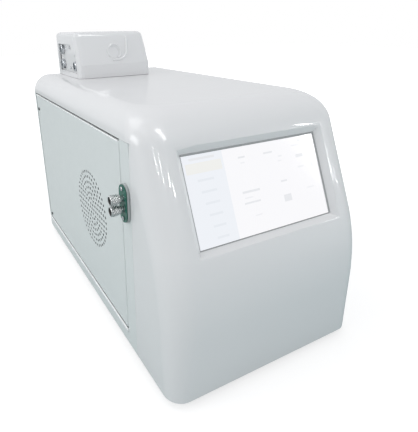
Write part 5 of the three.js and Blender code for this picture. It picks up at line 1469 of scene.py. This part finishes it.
@dataclass
class WetSide(SubAssembly):
    """Pump, syringes, reactor, cell and reagent bottles behind the door, with their tubing.

    A syringe's scale has its lowest mark, its pitch and how many marks there are. The reactor's ports are
    given by how far they stand out and how far along they are from its middle.
    """

    pump: Triple = (111.7, 330.0, 141.0)
    orbit: float = 21.7
    reactor: Triple = (105.7, 205.0, 220.5)
    reactor_end: float = 81.0
    reactor_ports: Pair = (17.4, 75.0)
    syringes: Pair = (396.0, 434.0)
    barrel_x: float = 105.7
    scale: tuple[float, float, int] = (129.0, 6.5, 9)
    valve_x: float = 91.7
    valve_z: Pair = (195.0, 209.0)
    bottles: Pair = (150.0, 216.0)
    probes: Pair = (298.0, 326.0)
    cell: Pair = (116.7, 121.0)
    waste: Pair = (44.0, 70.0)
    ports_y: float = 94.05
    union_x: float = 14.0
    union_z: Pair = (197.29, 185.49)
    line: float = 1.35

    def build(self) -> None:
        """Makes each piece of the wet side."""
        self.copy(Finish.WHITE, 0.8, "pump_housing")
        self.copy(Finish.STEEL, 0.4, "pump_rotor", body=Body.PUMP)
        self.copy(Finish.DARK, 0.8, "pump_motor")
        self.copy(Finish.TUBE, 0.1, "pump_tube", sharp=70.0)
        plungers = (Body.ACID_PLUNGER, Body.OXIDISER_PLUNGER)
        for reagent, y, plunger in zip(("acid", "oxidiser"), self.syringes, plungers):
            self.copy(Finish.WHITE, 0.8, f"{reagent}_syringe_body")
            self.copy(Finish.GLASS, 0.3, f"{reagent}_syringe_barrel")
            self.copy(Finish.STEEL, 0.3, f"{reagent}_syringe_plunger", body=plunger)
            self.copy(Finish.BOTTLE, 0.8, f"{reagent}_bottle")
            self.graduations(reagent, y)
        self.copy(Finish.DARK, 0.4, "acid_bottle_cap", body=Body.ACID_CAP)
        self.copy(Finish.DARK, 0.4, "oxidiser_bottle_cap", body=Body.OXIDISER_CAP)
        self.copy(Finish.WHITE, 0.6, "drip_tray")
        self.copy(Finish.CHROME, 0.6, "uv_reactor")
        self.copy(Finish.DARK, 0.5, "reactor_cradle")
        self.copy(Finish.WHITE, 0.8, "cell_block")
        self.fittings()
        self.tubing()
        self.cables()

    def graduations(self, reagent: str, y: float) -> None:
        """Moulded rings that mark the volume on a syringe's barrel.

        Args:
            reagent: what the syringe doses.
            y: the syringe's depth.
        """
        rings, (low, pitch, marks) = [], self.scale
        for step in range(marks):
            z, half = low + pitch * step, 0.35 if step % 4 else 0.6
            section = [(5.9, -half), (6.25, -half * 0.6), (6.25, half * 0.6), (5.9, half), (5.9, -half)]
            profile = [(radius, z + rise) for radius, rise in section]
            rings.append(turned(profile, Axis.Z, (self.barrel_x, y, 0)))
        settled(f"{reagent}_graduations", merged(*rings), Finish.DARK)

    def fitting(self, end: Point, axis: Axis, side: int) -> Mesh:
        """A finger-tight tube nut with a ribbed head.

        Args:
            end: the middle of its seat.
            axis: its axis.
            side: 1 if it points along the axis, -1 if against it.

        Returns:
            The mesh.
        """
        seat, steps = Vector(end).dot(axis.value), 32
        section = [
            (0.0, 0.0), (2.0, 0.0), (2.0, 0.9), (3.6, 1.2), (3.9, 1.7), (3.7, 5.4), (3.3, 6.0), (2.1, 6.4),
            (1.7, 8.0), (0.0, 8.0),
        ]
        shape = turned([(radius, seat + side * along) for radius, along in section], axis, end, steps)
        for vertex, arm, step in arms(shape, axis, end, steps):
            if arm.length > 3.2:
                vertex.co += arm * (0.05 if step % 2 else -0.06)
        return shape

    def fittings(self) -> None:
        """The tube nuts on pump, valves, reactor, cell and unions, and the barbs on the bottle caps."""
        x, y, z = self.pump
        mid_x, mid_y, mid_z = self.reactor
        ends = [((x, y + side * self.orbit, z), Axis.Z, -1) for side in (-1, 1)]
        valves = [(self.valve_x, depth, height) for depth in self.syringes for height in self.valve_z]
        ends += [(valve, Axis.X, -1) for valve in valves]
        ends += [((mid_x, mid_y + side * self.reactor_end, mid_z), Axis.Y, side) for side in (-1, 1)]
        out, along = self.reactor_ports
        ends += [((mid_x - out, mid_y + side * along, mid_z), Axis.X, -1) for side in (-1, 1)]
        ends += [((self.cell[0], depth, self.cell[1]), Axis.Z, 1) for depth in self.probes]
        ends += [((self.union_x, self.ports_y, height), Axis.X, 1) for height in self.union_z]
        settled("tube_fittings", merged(*(self.fitting(*end) for end in ends)), Finish.DARK, sharp=35.0)
        barb = [
            (0.0, 124.2), (6.0, 124.2), (6.2, 125.4), (3.2, 125.8), (2.2, 128.0), (2.7, 128.3), (2.0, 130.4),
            (2.4, 130.7), (1.7, 132.6), (1.5, 133.2), (0.0, 133.2),
        ]
        for name, y, body in zip(("acid", "oxidiser"), self.bottles, (Body.ACID_CAP, Body.OXIDISER_CAP)):
            settled(f"{name}_cap_barb", turned(barb, Axis.Z, (72.0, y, 0)), Finish.WHITE, body, sharp=35.0)

    def tubing(self) -> None:
        """The sample, reagent, reactor and waste lines."""
        x, y, z = self.pump
        mid_x, mid_y, mid_z = self.reactor
        first, second = self.probes
        lines = {
            "sample_line": [
                (21, self.ports_y, 197.3), (34, 98, 197), (60, 130, 190), (84, 215, 172), (98, 280, 140),
                (108, 304, 122), (x, y - self.orbit, 125), (x, y - self.orbit, z - 7)],
            "pump_line": [
                (x, y + self.orbit, z - 7), (x, y + self.orbit, 126), (107, 364, 118), (97, 369, 136),
                (91, 364, 182), (93, 340, 213), (100, 308, 222), (mid_x, 300, mid_z), (mid_x, 293, mid_z)],
            "reactor_line": [
                (mid_x, mid_y - 88, mid_z), (mid_x, 112, 218), (99, 107, 202), (92, 112, 174), (89, 140, 153),
                (93, 220, 147), (105, 280, 143), (116.7, first, 138), (116.7, first, 128)],
            "waste_line": [
                (116.7, second, 128), (116.7, second, 136), (107, 334, 138), (94, 348, 112), (84, 392, 62),
                (74, 436, 46), (self.waste[1], 450, 44), (self.waste[1], 459, 44)],
            "overflow_line": [
                (21, self.ports_y, 185.5), (33, 98, 184), (58, 118, 163), (80, 150, 141), (84, 240, 136),
                (76, 292, 88), (58, 362, 40), (46, 430, 38), (self.waste[0], 450, 44),
                (self.waste[0], 459, 44)],
            "acid_line": [
                (72, 150, 133), (71, 151, 150), (65, 200, 173), (66, 290, 190), (74, 360, 196),
                (78, 388, 196), (81, 396, 195), (84.5, 396, 195)],
            "oxidiser_line": [
                (72, 216, 133), (71, 218, 150), (58, 262, 170), (56, 350, 182), (64, 410, 192),
                (76, 430, 195), (80, 434, 195), (84.5, 434, 195)],
            "acid_dose_line": [
                (84.5, 396, 209), (78, 394, 211), (71, 360, 222), (70, 310, 224), (74, 284, 221.5),
                (80, mid_y + 75, mid_z)],
            "oxidiser_dose_line": [
                (84.5, 434, 209), (74, 430, 214), (60, 370, 228), (58, 250, 232), (64, 150, 228),
                (74, 131, 221.5), (80, mid_y - 75, mid_z)],
        }
        for name, route in lines.items():
            finish = Finish.AMBER if name.startswith("acid") else Finish.TUBE
            settled(name, hoses(self.line, route), finish, sharp=60.0)

    def cables(self) -> None:
        """The door fan's cable with its clips, the lamp's cable with its grommet, and the inner screws."""
        fan = [
            (14, 266.5, 94), (9, 273, 95), (4.4, 292, 104), (2.9, 340, 128), (2.9, 400, 146), (2.9, 438, 150),
            (4.5, 449, 150),
        ]
        settled("door_fan_cable", hoses(1.3, fan), Finish.CABLE, Body.DOOR, sharp=60.0)
        held = ((340, 128), (400, 146))
        clips = [soft_block((1.25, y - 4, z - 3.2), (5.2, y + 4, z + 3.2), 0.9, 3) for y, z in held]
        settled("door_cable_clips", merged(*clips), Finish.WHITE, Body.DOOR)
        x = self.reactor[0]
        lamp = hoses(1.9, [(x, 125, 231.5), (x, 116, 231), (112, 107, 226), (124, 105, 214), (131, 107, 208)])
        settled("lamp_cable", lamp, Finish.CABLE, sharp=60.0)
        ring = [(2.0, 129.6), (5.0, 129.6), (5.8, 130.4), (5.8, 131.9), (2.0, 131.9), (2.0, 129.6)]
        settled("cable_grommet", turned(ring, Axis.X, (0, 107, 208)), Finish.RUBBER)
        sheet = ((112.0, 24.0), (112.0, 226.0), (286.0, 24.0), (452.0, 24.0), (456.0, 226.0), (300.0, 226.0))
        pump = [(97.7, self.pump[1] + y, 176 + z) for y in (-25, 25) for z in (-25, 25)]
        valve = [(self.valve_x, y + side * 12, 216) for y in self.syringes for side in (-1, 1)]
        heads = [
            screw_heads(Axis.X, -1, 3.2, 1.7, *((132.0, y, z) for y, z in sheet)),
            screw_heads(Axis.X, -1, 2.4, 1.3, *pump), screw_heads(Axis.X, -1, 2.0, 1.0, *valve),
        ]
        settled("inner_screws", merged(*heads), Finish.STEEL, sharp=30.0)


@dataclass
class Electronics(SubAssembly):
    """Power supply and main board behind the partition, with their cables."""

    board: float = 143.4
    supply: Pair = (250.0, 43.8)
    rib_x: Pair = (166.0, 236.0)
    ribs: int = 14
    rib_pitch: float = 7.0
    strip_x: Pair = (163.0, 239.0)
    poles: int = 7
    pole_pitch: float = 12.0

    def build(self) -> None:
        """Makes the supply, the board and what they carry."""
        self.copy(Finish.ZINC, 0.6, "power_supply")
        self.copy(Finish.BOARD, 0.2, "main_board")
        self.components()
        self.supply_fittings()
        self.looms()

    def components(self) -> None:
        """Capacitors, sockets and a finned cooler on the main board."""
        face, cans = self.board, []
        sizes = ((164, 176, 5.0, 12.0), (178, 176, 5.0, 12.0), (164, 161, 4.0, 9.0), (286, 184, 6.2, 15.0))
        for y, z, wide, high in sizes:
            section = [
                (0.0, 0.0), (wide, 0.0), (wide, 0.8), (wide * 0.92, 1.3), (wide, 1.9), (wide, high - 0.6),
                (wide * 0.9, high), (0.0, high - 0.25),
            ]
            cans.append(turned([(radius, face + out) for radius, out in section], Axis.X, (0, y, z)))
        settled("board_capacitors", merged(*cans), Finish.CABLE)
        blocks = [soft_block((face, y, 86), (face + 9, y + 18, 93), 0.5) for y in (156, 180, 246, 270)]
        for y in (156, 270):
            blocks.append(soft_block((face + 1.5, y + 1.6, 87.4), (face + 9.4, y + 16.4, 91.6), 0.3))
        settled("board_sockets", merged(*blocks), Finish.WHITE)
        fins = [(228 + 3.4 * step, 229.4 + 3.4 * step) for step in range(8)]
        cooler = [soft_block((face + 5.8, 227.5, 149.5), (face + 7.8, 253.5, 172.5), 0.3)]
        cooler += [soft_block((face + 6.0, start, 150), (face + 17, stop, 172), 0.3) for start, stop in fins]
        settled("chip_cooler", merged(*cooler), Finish.DARK)

    def supply_fittings(self) -> None:
        """Vent ribs and terminal strip of the power supply."""
        y, z = self.supply
        left, right = self.rib_x
        starts = [y + 36 + self.rib_pitch * step for step in range(self.ribs)]
        ribs = [soft_block((left, start, z), (right, start + 3, z + 0.9), 0.35) for start in starts]
        settled("supply_vent_ribs", merged(*ribs), Finish.ZINC)
        left, right = self.strip_x
        strip = [soft_block((left, y + 4, z), (right, y + 18, z + 5), 0.5)]
        for x in (164 + self.pole_pitch * step for step in range(self.poles)):
            strip.append(soft_block((x, y + 4, z), (x + 1.6, y + 18, z + 10), 0.4))
        settled("supply_terminals", merged(*strip), Finish.DARK)
        seats = [(170.8 + self.pole_pitch * step, y + 11, z + 5) for step in range(self.poles - 1)]
        settled("terminal_screws", screw_heads(Axis.Z, 1, 3.0, 1.8, *seats), Finish.STEEL, sharp=30.0)

    def looms(self) -> None:
        """Cables from the supply to the mains inlet, to the board and to the display."""
        y, z, face = *self.supply, self.board
        mains = [[
            (206 + 12 * step, y + 3, z + 6), (204 + 12 * step, y - 8, z + 9),
            (232 + 5 * step, y + 20, z + 16), (236 + 4 * step, y + 110, z + 14),
            (226 + 4 * step, 430, 54), (214 + 8 * step, 450, 46),
        ] for step in range(3)]
        settled("mains_loom", hoses(1.7, *mains, sides=10), Finish.CABLE, sharp=60.0)
        feed = [[
            (170 + 12 * step, y + 3, z + 6), (168 + 6 * step, y - 10, z + 12), (160 + 3 * step, y - 40, 72),
            (154 + 2 * step, 188 + 3 * step, 76), (face + 5, 186 + 3 * step, 87),
        ] for step in range(2)]
        settled("board_loom", hoses(1.4, *feed, sides=10), Finish.COPPER, sharp=60.0)
        screen = [[
            (face + 5, 160 + 3 * step, 90), (158, 148 + 2 * step, 88), (166, 128, 110 + 3 * step),
            (158, 100, 160 + 3 * step), (150, 66, 184 + 3 * step),
        ] for step in range(4)]
        settled("display_loom", hoses(1.2, *screen, sides=10), Finish.CABLE, sharp=60.0)


def main() -> None:
    """Builds the studio and every sub-assembly in order."""
    logging.basicConfig(level=logging.INFO, format="%(name)s: %(message)s")
    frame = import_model()
    face = FrontFace()
    Studio().build()
    Hood(face).build()
    TouchDisplay(frame, face).build()
    for part in (CaseSheets, VentedDoor, SamplePorts, TopModule, RearFittings, WetSide, Electronics):
        part(frame).build()
    bpy.context.scene.view_settings.view_transform = "Standard"


if __name__ == "__main__":
    main()
